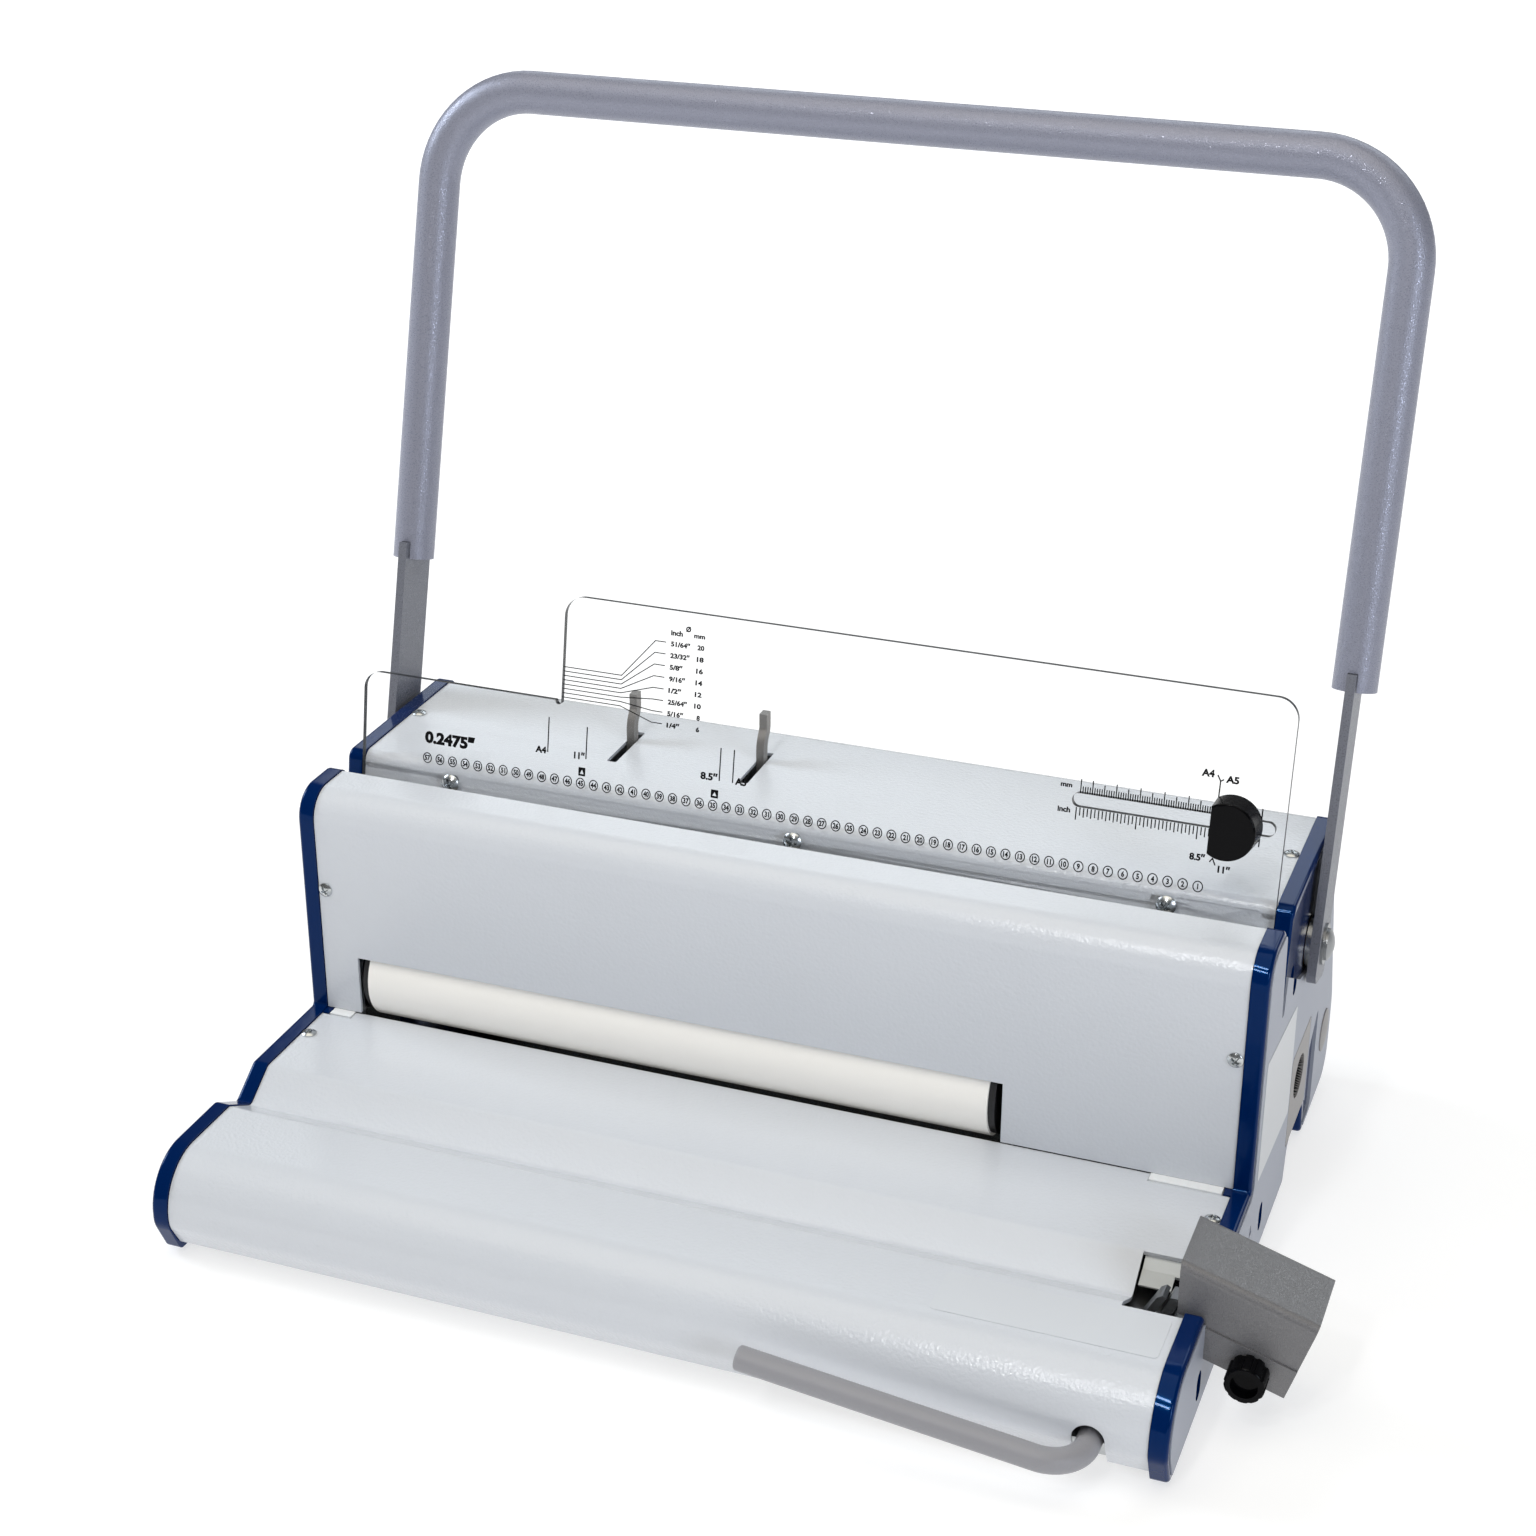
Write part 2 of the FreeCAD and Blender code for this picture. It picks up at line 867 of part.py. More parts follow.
def side_frame_right():
    reach = (frame_inner - 1, body_half + 1)
    body = frame_body().cut([drawer_hole(*reach), hood_notch(*reach)])
    return body


def side_frame_left():
    return mirrored(frame_body()).cut(inlet_hole(-body_half - 1, 1 - frame_inner))


def pivot_cut_out():
    """Part of the plate left off between the paper slot and the handle arm."""
    return [
        (slot_middle_y, body_height + 1),
        (slot_middle_y, pivot_z + cut_out_front_rise),
        (pivot_y - cut_out_middle, pivot_z - cut_out_middle_drop),
        (pivot_y - cut_out_rear, pivot_z - cut_out_rear_drop),
        (pivot_y, pivot_z),
        handle_up(body_height, 0),
    ]


def plate_body():
    """Right side plate before the cuts that differ between the sides."""
    x0 = plate_seat
    plate = x_prism(plate_outline(seat_gap), x0, body_half)
    cuts = [rod(spacer_radius + spacer_hole_gap, vector(x0 - 1, pivot_y, pivot_z),
                vector(1, 0, 0), side_sheet + 2)]
    for y, z in side_holes:
        cuts.append(long_hole(y, z, side_hole_wide, side_hole_high, x0 - 1, body_half + 1))
    y, z = tri_hole
    triangle = [
        (y - tri_half, z - tri_half, 0.6),
        (y + tri_half, z - tri_half, 0.6),
        (y, z + tri_half, 0.6),
    ]
    cuts.append(x_prism(triangle, x0 - 1, body_half + 1))
    window = [
        (window_y0, window_z0, 1.5),
        (window_y1, window_z0, 5),
        (window_y1, window_z1, 2),
        (window_y0, window_z1 - window_slant, 2),
    ]
    cuts.append(x_prism(window, x0 - 1, body_half + 1))
    cuts.append(x_prism(pivot_cut_out(), x0 - 1, body_half + 1))
    return plate.cut(cuts)


def side_plate_right():
    x0 = plate_seat - 1
    cap = rod(side_cap_radius * 0.6, vector(x0, cap_y, cap_z), vector(1, 0, 0), 5)
    return plate_body().cut([drawer_hole(x0, body_half + 1), hood_notch(x0, body_half + 1), cap])


def side_plate_left():
    plate = plate_body()
    x0 = plate_seat - 1
    return mirrored(plate).cut(inlet_hole(-body_half - 1, -x0))


def side_cap():
    """Round cap pressed into the right side plate."""
    dome = dome_screw(
        vector(body_half, cap_y, cap_z), vector(1, 0, 0),
        side_cap_radius, side_cap_dome, side_cap_radius * 0.6, side_sheet,
    )
    return dome


def side_screws():
    """Pan screws sunk in the side plates' long holes."""
    screws = []
    for side in (1, -1):
        for y, z in side_holes:
            seat = vector(side * side_seat, y, z)
            screws.append(
                dome_screw(seat, vector(side, 0, 0), side_screw_head, side_screw_dome,
                           screw_shank, side_seat - frame_inner - 0.5)
            )
    return group(screws)


def front_cover():
    """Front housing sheet with its hem, big bend and roller window."""
    y = front_y + frame_proud
    path = [
        (hem_y, hem_z),
        (hem_y, cover_top, 2.2),
        (y, cover_top, front_bend - frame_proud),
        (y, front_foot_z),
    ]
    cover = x_prism(bent_sheet(path, sheet), -cover_half, cover_half)
    window = box(
        roller_window_x0, roller_window_x1, y - 5, y + 5, front_foot_z - 5, roller_window_z
    )
    return cover.cut([window] + screw_holes((1, -1)))


def deck_path():
    y1 = front_y + frame_proud
    y2 = roll_front_y + frame_proud
    top = deck_z - frame_proud
    roll = roll_z - frame_proud
    return [
        (y1, top),
        (deck_edge_y, top, 4),
        (groove_y, groove_z - frame_proud, 4),
        (roll_rise_y, roll, 4),
        (y2, roll, roll_bend - frame_proud),
        (y2, roll_turn_z, roll_turn_bend - frame_proud),
        (roll_foot_y - frame_proud * 0.5, base_z + base_sheet * 2),
    ]


def arch_cut():
    """Arched opening for the crimper lever in the roll's front."""
    half = arch_wide / 2
    points = [
        (arch_x - half, -5),
        (arch_x + half, -5),
        (arch_x + half, arch_z, half - 0.01),
        (arch_x - half, arch_z, half - 0.01),
    ]
    return y_prism(points, roll_front_y - 10, roll_front_y + 25)


def deck_cover():
    """Deck, groove and roll bent from one sheet."""
    cover = x_prism(bent_sheet(deck_path(), sheet), -cover_half, cover_half)
    y1 = front_y + frame_proud
    cuts = [arch_cut()]
    for x0, x1 in notches:
        outer = cover_half + 1
        ends = (-outer, x1) if x1 < 0 else (x0, outer)
        cuts.append(box(*ends, y1 - notch_deep, y1 + 1, deck_z - 5, deck_z + 5))
    cuts.append(box(opening_x0, cover_half + 1, opening_y0, deck_edge_y, 20, 60))
    cuts.append(box(hood_left_x - hood_clear, cover_half + 1,
                    opening_y0, hood_y1 + hood_clear, 20, 60))
    return cover.cut(cuts + screw_holes((1, -1)))


def slope_way():
    """Unit direction from the top rear edge down the rear slope."""
    dy, dz = rear_y - top_rear_y, slope_foot_z - body_height
    long = math.hypot(dy, dz)
    return dy / long, dz / long


def cover_rear_point(down):
    """Point on the rear slope of the covers, a distance down from the top edge."""
    dy, dz = slope_way()
    return (top_rear_y - frame_proud + dy * down, cover_top + dz * down)


def top_cover():
    """Top sheet with a front flange that leans like the clear plate and a rear bend."""
    face_u = clear_thick
    top_v = (cover_top - ring_z + face_u * lean_sin) / lean_cos
    path = [
        cover_rear_point(cover_turn_down),
        (top_rear_y - frame_proud, cover_top, top_rear_bend),
        lean_point(face_u, top_v) + (top_bend,),
        lean_point(face_u, flange_v),
    ]
    cover = x_prism(bent_sheet(path, sheet), -cover_half, cover_half)
    cuts = [bolt_hole(x) for x in (-bolt_x, 0, bolt_x)]
    for x in lever_places:
        half = lever_slot_wide / 2
        outline = [
            (x - half, lever_slot_y0, 1),
            (x + half, lever_slot_y0, 1),
            (x + half, lever_slot_y1, 1),
            (x - half, lever_slot_y1, 1),
        ]
        cuts.append(prism(outline, on_xy(cover_top - 5), vector(0, 0, 10)))
    return cover.cut(cuts + screw_holes((1, -1)))


def rear_cover():
    """Rear sheet from the slope down and under the base's rear edge."""
    y = rear_y - frame_proud
    z = edge_z + frame_proud
    path = [
        (base_rear_y + rear_hem_gap, z),
        (y, z, rear_foot_bend - frame_proud),
        (y, slope_foot_z, rear_slope_bend),
        cover_rear_point(cover_turn_down + cover_joint),
    ]
    cover = x_prism(bent_sheet(path, sheet), -cover_half, cover_half)
    return cover.cut(screw_holes((1, -1)))


def cover_screws():
    screws = []
    for side in (1, -1):
        for point, axis in screw_places():
            seat = vector(point.x * side, point.y, point.z)
            screws.append(dome_screw(seat, axis, screw_head, screw_dome, screw_shank, screw_long - 0.5))
    return group(screws)


def bolt_hole(x):
    return rod(bolt_shank + run_gap, on_lean(-1)(x, bolt_v), lean_normal, 1 + bolt_long)


def dome_bolts():
    """Bolts that clamp the clear plate and the top cover to the punch guide."""
    bolts = []
    for x in (-bolt_x, 0, bolt_x):
        seat = on_lean(0)(x, bolt_v)
        bolts.append(dome_screw(seat, lean_normal * -1, bolt_head, bolt_dome, bolt_shank, bolt_long - 0.5))
    return group(bolts)


def clear_plate():
    """Clear scale plate with its step, relief hook and side guide slot."""
    r = clear_corner
    outline = [
        (-clear_half, clear_low_v),
        (clear_half, clear_low_v),
        (clear_half, clear_top_v, r),
        (clear_step_x, clear_top_v, r),
        (clear_step_x, clear_step_v - 1.8, 1.2),
        (clear_step_x - clear_relief, clear_step_v - 1.8, 1.2),
        (clear_step_x - clear_relief, clear_step_v, 0.6),
        (-clear_half, clear_step_v, r - 1),
    ]
    plate = prism(outline, on_lean(0), lean_normal * clear_thick)
    half = guide_slot_high / 2
    slot = [
        (guide_slot_x0, guide_slot_v - half, half - 0.01),
        (guide_slot_x1, guide_slot_v - half, half - 0.01),
        (guide_slot_x1, guide_slot_v + half, half - 0.01),
        (guide_slot_x0, guide_slot_v + half, half - 0.01),
    ]
    cuts = [prism(slot, on_lean(-1), lean_normal * (clear_thick + 2))]
    cuts += [bolt_hole(x) for x in (-bolt_x, 0, bolt_x)]
    return plate.cut(cuts)


def side_guide_knob():
    """Half round stop that slides along the clear plate."""
    back = on_lean(-fit_gap)(guide_x, guide_slot_v)
    knob = Part.makeCone(guide_radius, guide_front_radius, guide_deep, back, lean_normal * -1)
    reach = guide_radius * 2
    flat = prism(
        [
            (guide_x - guide_flat, guide_slot_v - reach),
            (guide_x - guide_flat, guide_slot_v + reach),
            (guide_x - reach, guide_slot_v + reach),
            (guide_x - reach, guide_slot_v - reach),
        ],
        on_lean(1),
        lean_normal * -(guide_deep + 3),
    )
    knob = knob.cut(flat)
    front = [e for e in knob.Edges if e.BoundBox.YMax < back.y - guide_deep * 0.6]
    knob = knob.makeFillet(guide_round, front)
    bore = rod(guide_stud + run_gap, back, lean_normal * -1, guide_bore_deep)
    return knob.cut(bore)


def side_guide_clamp():
    """Clamp disc behind the plate, with the stud that reaches into the knob."""
    seat = on_lean(clear_thick + fit_gap)(guide_x, guide_slot_v)
    disc = rod(clamp_radius, seat, lean_normal, clamp_thick)
    long = clear_thick + fit_gap + guide_bore_deep
    stud = rod(guide_stud, seat, lean_normal * -1, long)
    return joined([disc, stud])


def pin_places():
    middle = (pin_count - 1) / 2
    return [(i - middle) * pitch for i in range(pin_count)]


def pin_row(radius, u0, u1):
    return [
        rod(radius, on_lean(u0)(x, pin_v), lean_normal, u1 - u0) for x in pin_places()
    ]


def punch_guide():
    """Bar behind the paper that guides the pins and carries plate, cover and rods."""
    step = clear_thick + sheet + seat_gap
    outline = [
        (0, punch_low_v),
        (guide_thick, punch_low_v),
        (guide_thick, guide_top_v),
        (step, guide_top_v),
        (step, clear_low_v - seat_gap),
        (0, clear_low_v - seat_gap),
    ]
    bar = lean_prism(outline, -cover_half, cover_half)
    cuts = pin_row(hole_radius, -1, guide_thick + 1)
    cuts += [bolt_hole(x) for x in (-bolt_x, 0, bolt_x)]
    for side in (1, -1):
        start = on_lean(guide_thick - rod_seat)(side * rod_x, rod_v)
        cuts.append(rod(rod_radius, start, lean_normal, rod_seat + 1))
    return bar.cut(cuts)


def punch_die():
    """Die bar in front of the paper, with a lead-in on its top edge."""
    u1 = -paper_gap
    u0 = u1 - die_thick
    outline = [
        (u0, punch_low_v),
        (u1, punch_low_v),
        (u1, die_top_v - 2 * die_lead),
        (u1 - die_lead, die_top_v),
        (u0, die_top_v),
    ]
    bar = lean_prism(outline, -cover_half, cover_half)
    return bar.cut(pin_row(hole_radius, u0 - 1, u1 + 1))


def paper_stop():
    """Strip between die and guide that the paper's edge stands on."""
    outline = [
        (-paper_gap, punch_low_v),
        (0, punch_low_v),
        (0, paper_stop_v),
        (-paper_gap, paper_stop_v),
    ]
    return lean_prism(outline, -cover_half, cover_half)


def guide_rods():
    """Two rods behind the guide that the ram slides on, each with a stop head."""
    rods = []
    head_u = ram_u0 + ram_thick + fit_gap
    for side in (1, -1):
        start = on_lean(guide_thick - rod_seat)(side * rod_x, rod_v)
        shank = rod(rod_radius, start, lean_normal, head_u - guide_thick + rod_seat)
        head = rod(rod_head, on_lean(head_u)(side * rod_x, rod_v), lean_normal, rod_head_thick)
        rods.append(joined([shank, head]))
    return group(rods)


def ram_bar():
    """Bar that carries all pins, bored for the guide rods."""
    outline = [
        (ram_u0, ram_low_v, ram_round),
        (ram_u0 + ram_thick, ram_low_v, ram_round),
        (ram_u0 + ram_thick, ram_top_v, ram_round),
        (ram_u0, ram_top_v, ram_round),
    ]
    bar = lean_prism(outline, -ram_half, ram_half)
    cuts = []
    for side in (1, -1):
        start = on_lean(ram_u0 - 1)(side * rod_x, rod_v)
        cuts.append(rod(rod_radius + run_gap, start, lean_normal, ram_thick + 2))
    return bar.cut(cuts)


def punch_pins():
    return group(pin_row(pin_radius, pin_tip_u, ram_u0))


def involute(base, radius):
    """Polar angle of an involute of the base circle where it reaches a radius."""
    turn = math.sqrt((radius / base) ** 2 - 1)
    return turn - math.atan(turn)


def pinion_outline():
    """Lists of edges in gear coordinates, one tooth after the other."""
    pressure = math.radians(pressure_deg)
    base = pinion_radius * math.cos(pressure)
    tip = pinion_radius + addendum
    root = pinion_radius - dedendum
    half = (math.pi * gear_module / 2 - backlash / 2) / 2 / pinion_radius + involute(base, pinion_radius)
    edges = []
    step = 2 * math.pi / teeth

    def at(radius, angle):
        # Angle zero points to the rack and falls between two teeth.
        return (radius * math.sin(angle), radius * math.cos(angle))

    for i in range(teeth):
        centre = (i + 0.5) * step
        middle_radius = (base + tip) / 2
        rise = [at(r, centre - half + involute(base, r)) for r in (base, middle_radius, tip)]
        fall = [at(r, centre + half - involute(base, r)) for r in (tip, middle_radius, base)]
        foot = at(root, centre - half)
        toe = at(root, centre + half)
        next_foot = at(root, centre + step - half)
        edges += [("line", foot, rise[0]), ("arc", *rise)]
        edges += [("line", rise[2], fall[0]), ("arc", *fall), ("line", fall[2], toe)]
        edges.append(("line", toe, next_foot))
    return edges


def pinion_solid(x0):
    def place(p):
        y, z = lean_point(pivot_u + p[0], pivot_v + p[1])
        return vector(x0, y, z)
    made = []
    for kind, *points in pinion_outline():
        if kind == "line":
            made.append(Part.LineSegment(place(points[0]), place(points[1])).toShape())
        else:
            made.append(Part.Arc(*[place(p) for p in points]).toShape())
    gear = Part.Face(Part.Wire(made)).extrude(vector(gear_wide, 0, 0))
    return gear.cut(rod(shaft_radius, vector(x0 - 1, pivot_y, pivot_z), vector(1, 0, 0), gear_wide + 2))


def pinions():
    return group([pinion_solid(side * gear_x - gear_wide / 2) for side in (1, -1)])


def rack_solid(x0):
    """Rack above the pinion, a tooth centred over the shaft, reaching to the ram."""
    slope = math.tan(math.radians(pressure_deg))
    half = (math.pi * gear_module / 2 - backlash / 2) / 2
    low = rack_v - addendum
    high = rack_v + dedendum
    step = math.pi * gear_module
    first = math.ceil((ram_u0 + ram_thick + rack_end - pivot_u) / step)
    last = math.floor((rack_rear_u - rack_end - pivot_u) / step)
    outline = [(ram_u0 + ram_thick, high)]
    for i in range(first, last + 1):
        centre = pivot_u + i * step
        outline += [
            (centre - half - slope * dedendum, high),
            (centre - half + slope * addendum, low),
            (centre + half - slope * addendum, low),
            (centre + half + slope * dedendum, high),
        ]
    outline += [
        (rack_rear_u, high),
        (rack_rear_u, high + rack_deep),
        (ram_u0 + ram_thick, high + rack_deep),
    ]
    return lean_prism(outline, x0, x0 + gear_wide)


def racks():
    return group([rack_solid(side * gear_x - gear_wide / 2) for side in (1, -1)])


def size_lever(x):
    """Bent flat lever that stands on the ram and comes up through the top cover."""
    half = lever_wide / 2
    knee = body_height + lever_knee
    path = [
        (lever_foot_y, lever_run_z - half),
        (lever_base_y + half, lever_run_z - half, lever_bend_radius),
        (lever_base_y + half, knee, lever_bend_radius),
        (lever_base_y + lever_lean + half, knee + lever_knee_long, lever_bend_radius),
        (lever_base_y + lever_lean + half, body_height + lever_top),
    ]
    strip = x_prism(bent_sheet(path, lever_wide), x - lever_thick / 2, x + lever_thick / 2)
    u0 = ram_u0 + ram_round
    u1 = ram_u0 + ram_thick - ram_round
    foot = lean_prism(
        [
            (u0, ram_top_v),
            (u1, ram_top_v),
            (u1, ram_top_v + lever_foot_high, 1),
            (u0, ram_top_v + lever_foot_high, 1),
        ],
        x - lever_thick / 2,
        x + lever_thick / 2,
    )
    return joined([strip, foot])


def handle_up(reach, across):
    """Y and Z of a point up the handle from its pivot and across its plane to the rear."""
    lean = math.radians(handle_lean_deg)
    return (
        pivot_y + reach * math.sin(lean) + across * math.cos(lean),
        pivot_z + reach * math.cos(lean) - across * math.sin(lean),
    )


def handle_place(x, reach):
    y, z = handle_up(reach, 0)
    return vector(x, y, z)


def handle_way():
    lean = math.radians(handle_lean_deg)
    return vector(0, math.sin(lean), math.cos(lean))


def handle_tube():
    """Bent tube, slit at both ends for the arms."""
    route = [
        (-tube_x, tube_foot),
        (-tube_x, handle_reach, tube_bend),
        (tube_x, handle_reach, tube_bend),
        (tube_x, tube_foot),
    ]
    path = Part.Wire(edges_through(route, handle_place, False))
    shells = []
    for radius in (tube_radius, tube_radius - tube_wall):
        circle = Part.Circle(handle_place(-tube_x, tube_foot), handle_way(), radius)
        ring = Part.Wire([circle.toShape()])
        shells.append(path.makePipeShell([ring], True, True))
    tube = shells[0].cut(shells[1])
    slits = []
    for side in (1, -1):
        slits.append(
            handle_bar(side, arm_thick + tube_slit, arm_deep + 2, tube_foot - 1, tube_foot + tube_notch)
        )
    return tube.cut(slits)


def handle_bar(side, thick, deep, low, high):
    """Flat bar along the handle's plane on one side."""
    x = side * arm_x
    points = [
        handle_up(low, -deep / 2),
        handle_up(low, deep / 2),
        handle_up(high, deep / 2),
        handle_up(high, -deep / 2),
    ]
    return x_prism(points, x - thick / 2, x + thick / 2)


def handle_arms():
    """Flat arms with a tongue inside the tube and a rounded foot at the pivot."""
    arms = []
    for side in (1, -1):
        top = tube_foot + tube_notch - fit_gap
        half = arm_deep / 2
        x = side * arm_x
        outline = [
            handle_up(-arm_tail, -half) + (arm_round,),
            handle_up(-arm_tail, half) + (arm_round,),
            handle_up(top, half),
            handle_up(top, tongue_deep / 2),
            handle_up(top + tongue_long, tongue_deep / 2),
            handle_up(top + tongue_long, -tongue_deep / 2),
            handle_up(top, -tongue_deep / 2),
            handle_up(top, -half),
        ]
        arm = x_prism(outline, x - arm_thick / 2, x + arm_thick / 2)
        bore = rod(pivot_screw, vector(x - 5, pivot_y, pivot_z), vector(1, 0, 0), 10)
        arms.append(arm.cut(bore))
    return group(arms)


def drive_shaft():
    """Cross shaft with threaded ends, carried in both side frames."""
    half = arm_x - arm_thick / 2
    shaft = rod(shaft_radius, vector(-half, pivot_y, pivot_z), vector(1, 0, 0), 2 * half)
    ends = []
    for side in (1, -1):
        start = vector(side * half, pivot_y, pivot_z)
        ends.append(rod(pivot_screw, start, vector(-side, 0, 0), pivot_screw_long))
    return shaft.cut(ends)


def arm_spacers():
    """Bright collars on the shaft between frame and arm."""
    outer = arm_x - arm_thick / 2
    inner = plate_seat + fit_gap
    rings = []
    for side in (1, -1):
        start = vector(side * inner, pivot_y, pivot_z)
        way = vector(side, 0, 0)
        ring = rod(spacer_radius, start, way, outer - inner)
        rings.append(ring.cut(rod(shaft_radius, start, way, outer - inner)))
    return group(rings)


def pivot_screws():
    screws = []
    for side in (1, -1):
        face = arm_x + arm_thick / 2
        way = vector(side, 0, 0)
        seat = vector(side * (face + washer_thick), pivot_y, pivot_z)
        washer = rod(washer_radius, vector(side * face, pivot_y, pivot_z), way, washer_thick)
        long = washer_thick + arm_thick + pivot_screw_long - 1
        screw = dome_screw(seat, way, pivot_head, pivot_dome, pivot_screw, long)
        screws.append(joined([screw, washer]))
    return group(screws)


def shaft_bushes():
    """Flanged bushes pressed into the side frames."""
    bushes = []
    for side in (1, -1):
        way = vector(side, 0, 0)
        inner = vector(side * (frame_inner - bush_flange_thick), pivot_y, pivot_z)
        wide = plate_seat - frame_inner
        flange = rod(bush_flange, inner, way, bush_flange_thick)
        sleeve = rod(bush_radius, vector(side * frame_inner, pivot_y, pivot_z), way, wide)
        bore = rod(shaft_radius + run_gap, inner - way, way, frame_thick + 6)
        bushes.append(joined([flange, sleeve]).cut(bore))
    return group(bushes)


def x_tube(outer, inner, y, z, x0, x1):
    start = vector(x0, y, z)
    tube = rod(outer, start, vector(1, 0, 0), x1 - x0)
    return tube.cut(rod(inner, start, vector(1, 0, 0), x1 - x0))


def coil_roller():
    """Rubber sleeve that spins the coil."""
    return x_tube(
        roller_radius, roller_core, roller_y, roller_z, roller_x0 + cap_thick, roller_x1 - cap_thick
    )


def roller_brackets_x():
    """Inner and outer face of the left and right roller bracket."""
    left = roller_x0 - bracket_gap
    right = roller_x1 + bracket_gap
    return (left - bracket_thick, left), (right, right + bracket_thick)


def pulley_x():
    start = roller_brackets_x()[1][1] + pulley_gap
    return start, start + pulley_wide


def roller_shaft():
    """Core tube with end caps and journals."""
    left, right = roller_brackets_x()
    core = rod(roller_core, vector(roller_x0, roller_y, roller_z), vector(1, 0, 0), roller_x1 - roller_x0)
    parts = [core]
    for x in (roller_x0, roller_x1 - cap_thick):
        parts.append(rod(cap_radius, vector(x, roller_y, roller_z), vector(1, 0, 0), cap_thick))
    start = left[0] - 1
    end = pulley_x()[1] + 1
    parts.append(rod(journal_radius, vector(start, roller_y, roller_z), vector(1, 0, 0), end - start))
    return joined(parts)


def pulley(radius, bore, y, z):
    """Flanged belt pulley."""
    x0, x1 = pulley_x()
    parts = [
        x_tube(radius, bore, y, z, x0, x1),
        x_tube(radius + pulley_rim, bore, y, z, x0, x0 + pulley_flange),
        x_tube(radius + pulley_rim, bore, y, z, x1 - pulley_flange, x1),
    ]
    return joined(parts)


def roller_pulley_wheel():
    return pulley(roller_pulley, journal_radius, roller_y, roller_z)


def motor_pulley_wheel():
    """Small pulley with the gear motor's output shaft."""
    x0 = pulley_x()[0]
    x1 = motor_x0() + motor_shaft_long
    shaft = rod(motor_shaft, vector(x0, motor_y, motor_z), vector(1, 0, 0), x1 - x0)
    return joined([pulley(motor_pulley, motor_shaft * 0.8, motor_y, motor_z), shaft])


def motor_x0():
    """Face of the gear motor, against its bracket."""
    return pulley_x()[1] + motor_plate_gap + motor_plate


def roller_brackets():
    """Two standing plates with feet, bored for the roller's journals."""
    plates = []
    for x0, x1 in roller_brackets_x():
        plate = x_prism(
            [
                (roller_y - bracket_front, bar_bottom),
                (roller_y + bracket_rear, bar_bottom),
                (roller_y + bracket_rear, roller_z + bracket_top, bracket_round),
                (roller_y - bracket_front, roller_z + bracket_top, bracket_round),
            ],
            x0,
            x1,
        )
        bore = rod(journal_radius + run_gap, vector(x0 - 1, roller_y, roller_z),
                   vector(1, 0, 0), bracket_thick + 2)
        plates.append(plate.cut(bore))
    return group(plates)


def motor_bracket():
    """Standing plate that carries the gear motor."""
    x1 = motor_x0()
    plate = x_prism(
        [
            (motor_y - motor_plate_half, bar_bottom),
            (motor_y + motor_plate_half, bar_bottom),
            (motor_y + motor_plate_half, motor_z + motor_plate_half, 6),
            (motor_y - motor_plate_half, motor_z + motor_plate_half, 6),
        ],
        x1 - motor_plate,
        x1,
    )
    return plate.cut(
        rod(motor_shaft + 1, vector(x1 - motor_plate - 1, motor_y, motor_z),
            vector(1, 0, 0), motor_plate + 2)
    )


def roller_motor():
    """Gear motor lying along X under the roller's drive end."""
    x0 = motor_x0()
    head = rod(gearhead_radius, vector(x0, motor_y, motor_z), vector(1, 0, 0), gearhead_long)
    can = rod(
        motor_radius, vector(x0 + gearhead_long, motor_y, motor_z), vector(1, 0, 0), motor_long
    )
    bore = rod(motor_shaft + run_gap, vector(x0 - 1, motor_y, motor_z),
               vector(1, 0, 0), motor_shaft_long + 2)
    return joined([head, can]).cut(bore)


def loop_wire(x, grow):
    """Belt line round both pulleys, grown outwards."""
    dy, dz = roller_y - motor_y, roller_z - motor_z
    far = math.hypot(dy, dz)
    towards = math.atan2(dz, dy)
    r1 = motor_pulley + grow
    r2 = roller_pulley + grow
    spread = math.acos((r1 - r2) / far)

    def at(y, z, radius, angle):
        return vector(x, y + radius * math.cos(angle), z + radius * math.sin(angle))

    a1 = at(motor_y, motor_z, r1, towards + spread)
    a2 = at(motor_y, motor_z, r1, towards + math.pi)
    a3 = at(motor_y, motor_z, r1, towards - spread)
    b1 = at(roller_y, roller_z, r2, towards - spread)
    b2 = at(roller_y, roller_z, r2, towards)
    b3 = at(roller_y, roller_z, r2, towards + spread)
    return Part.Wire([
        Part.Arc(a1, a2, a3).toShape(),
        Part.LineSegment(a3, b1).toShape(),
        Part.Arc(b1, b2, b3).toShape(),
        Part.LineSegment(b3, a1).toShape(),
    ])


def drive_belt():
    x0 = pulley_x()[0] + (pulley_wide - belt_wide) / 2
    outer = Part.Face(loop_wire(x0, fit_gap + belt_thick)).extrude(vector(belt_wide, 0, 0))
    inner = Part.Face(loop_wire(x0, fit_gap)).extrude(vector(belt_wide, 0, 0))
    return outer.cut(inner)


def deck_rail():
    """Rail under the front cover that shows in the deck's notches."""
    top = deck_z - frame_proud - sheet
    bar = box(-cover_half, cover_half, rail_y0, rail_y1, top - rail_high, top)
    y1 = front_y + frame_proud
    parts = [bar]
    for x0, x1 in notches:
        pad = box(x0 + fit_gap, x1 - fit_gap, y1 - rail_pad_deep, y1,
                  top - 1, deck_z - frame_proud + rail_pad_up)
        parts.append(pad)
    return joined(parts)


def base_plate():
    """Bent pan that closes the machine below."""
    path = [
        (base_front_y, base_z + base_lip),
        (base_front_y, base_z, base_bend),
        (base_rear_y, base_z, base_bend),
        (base_rear_y, base_z + base_lip),
    ]
    return x_prism(bent_sheet(path, base_sheet), -cover_half, cover_half)


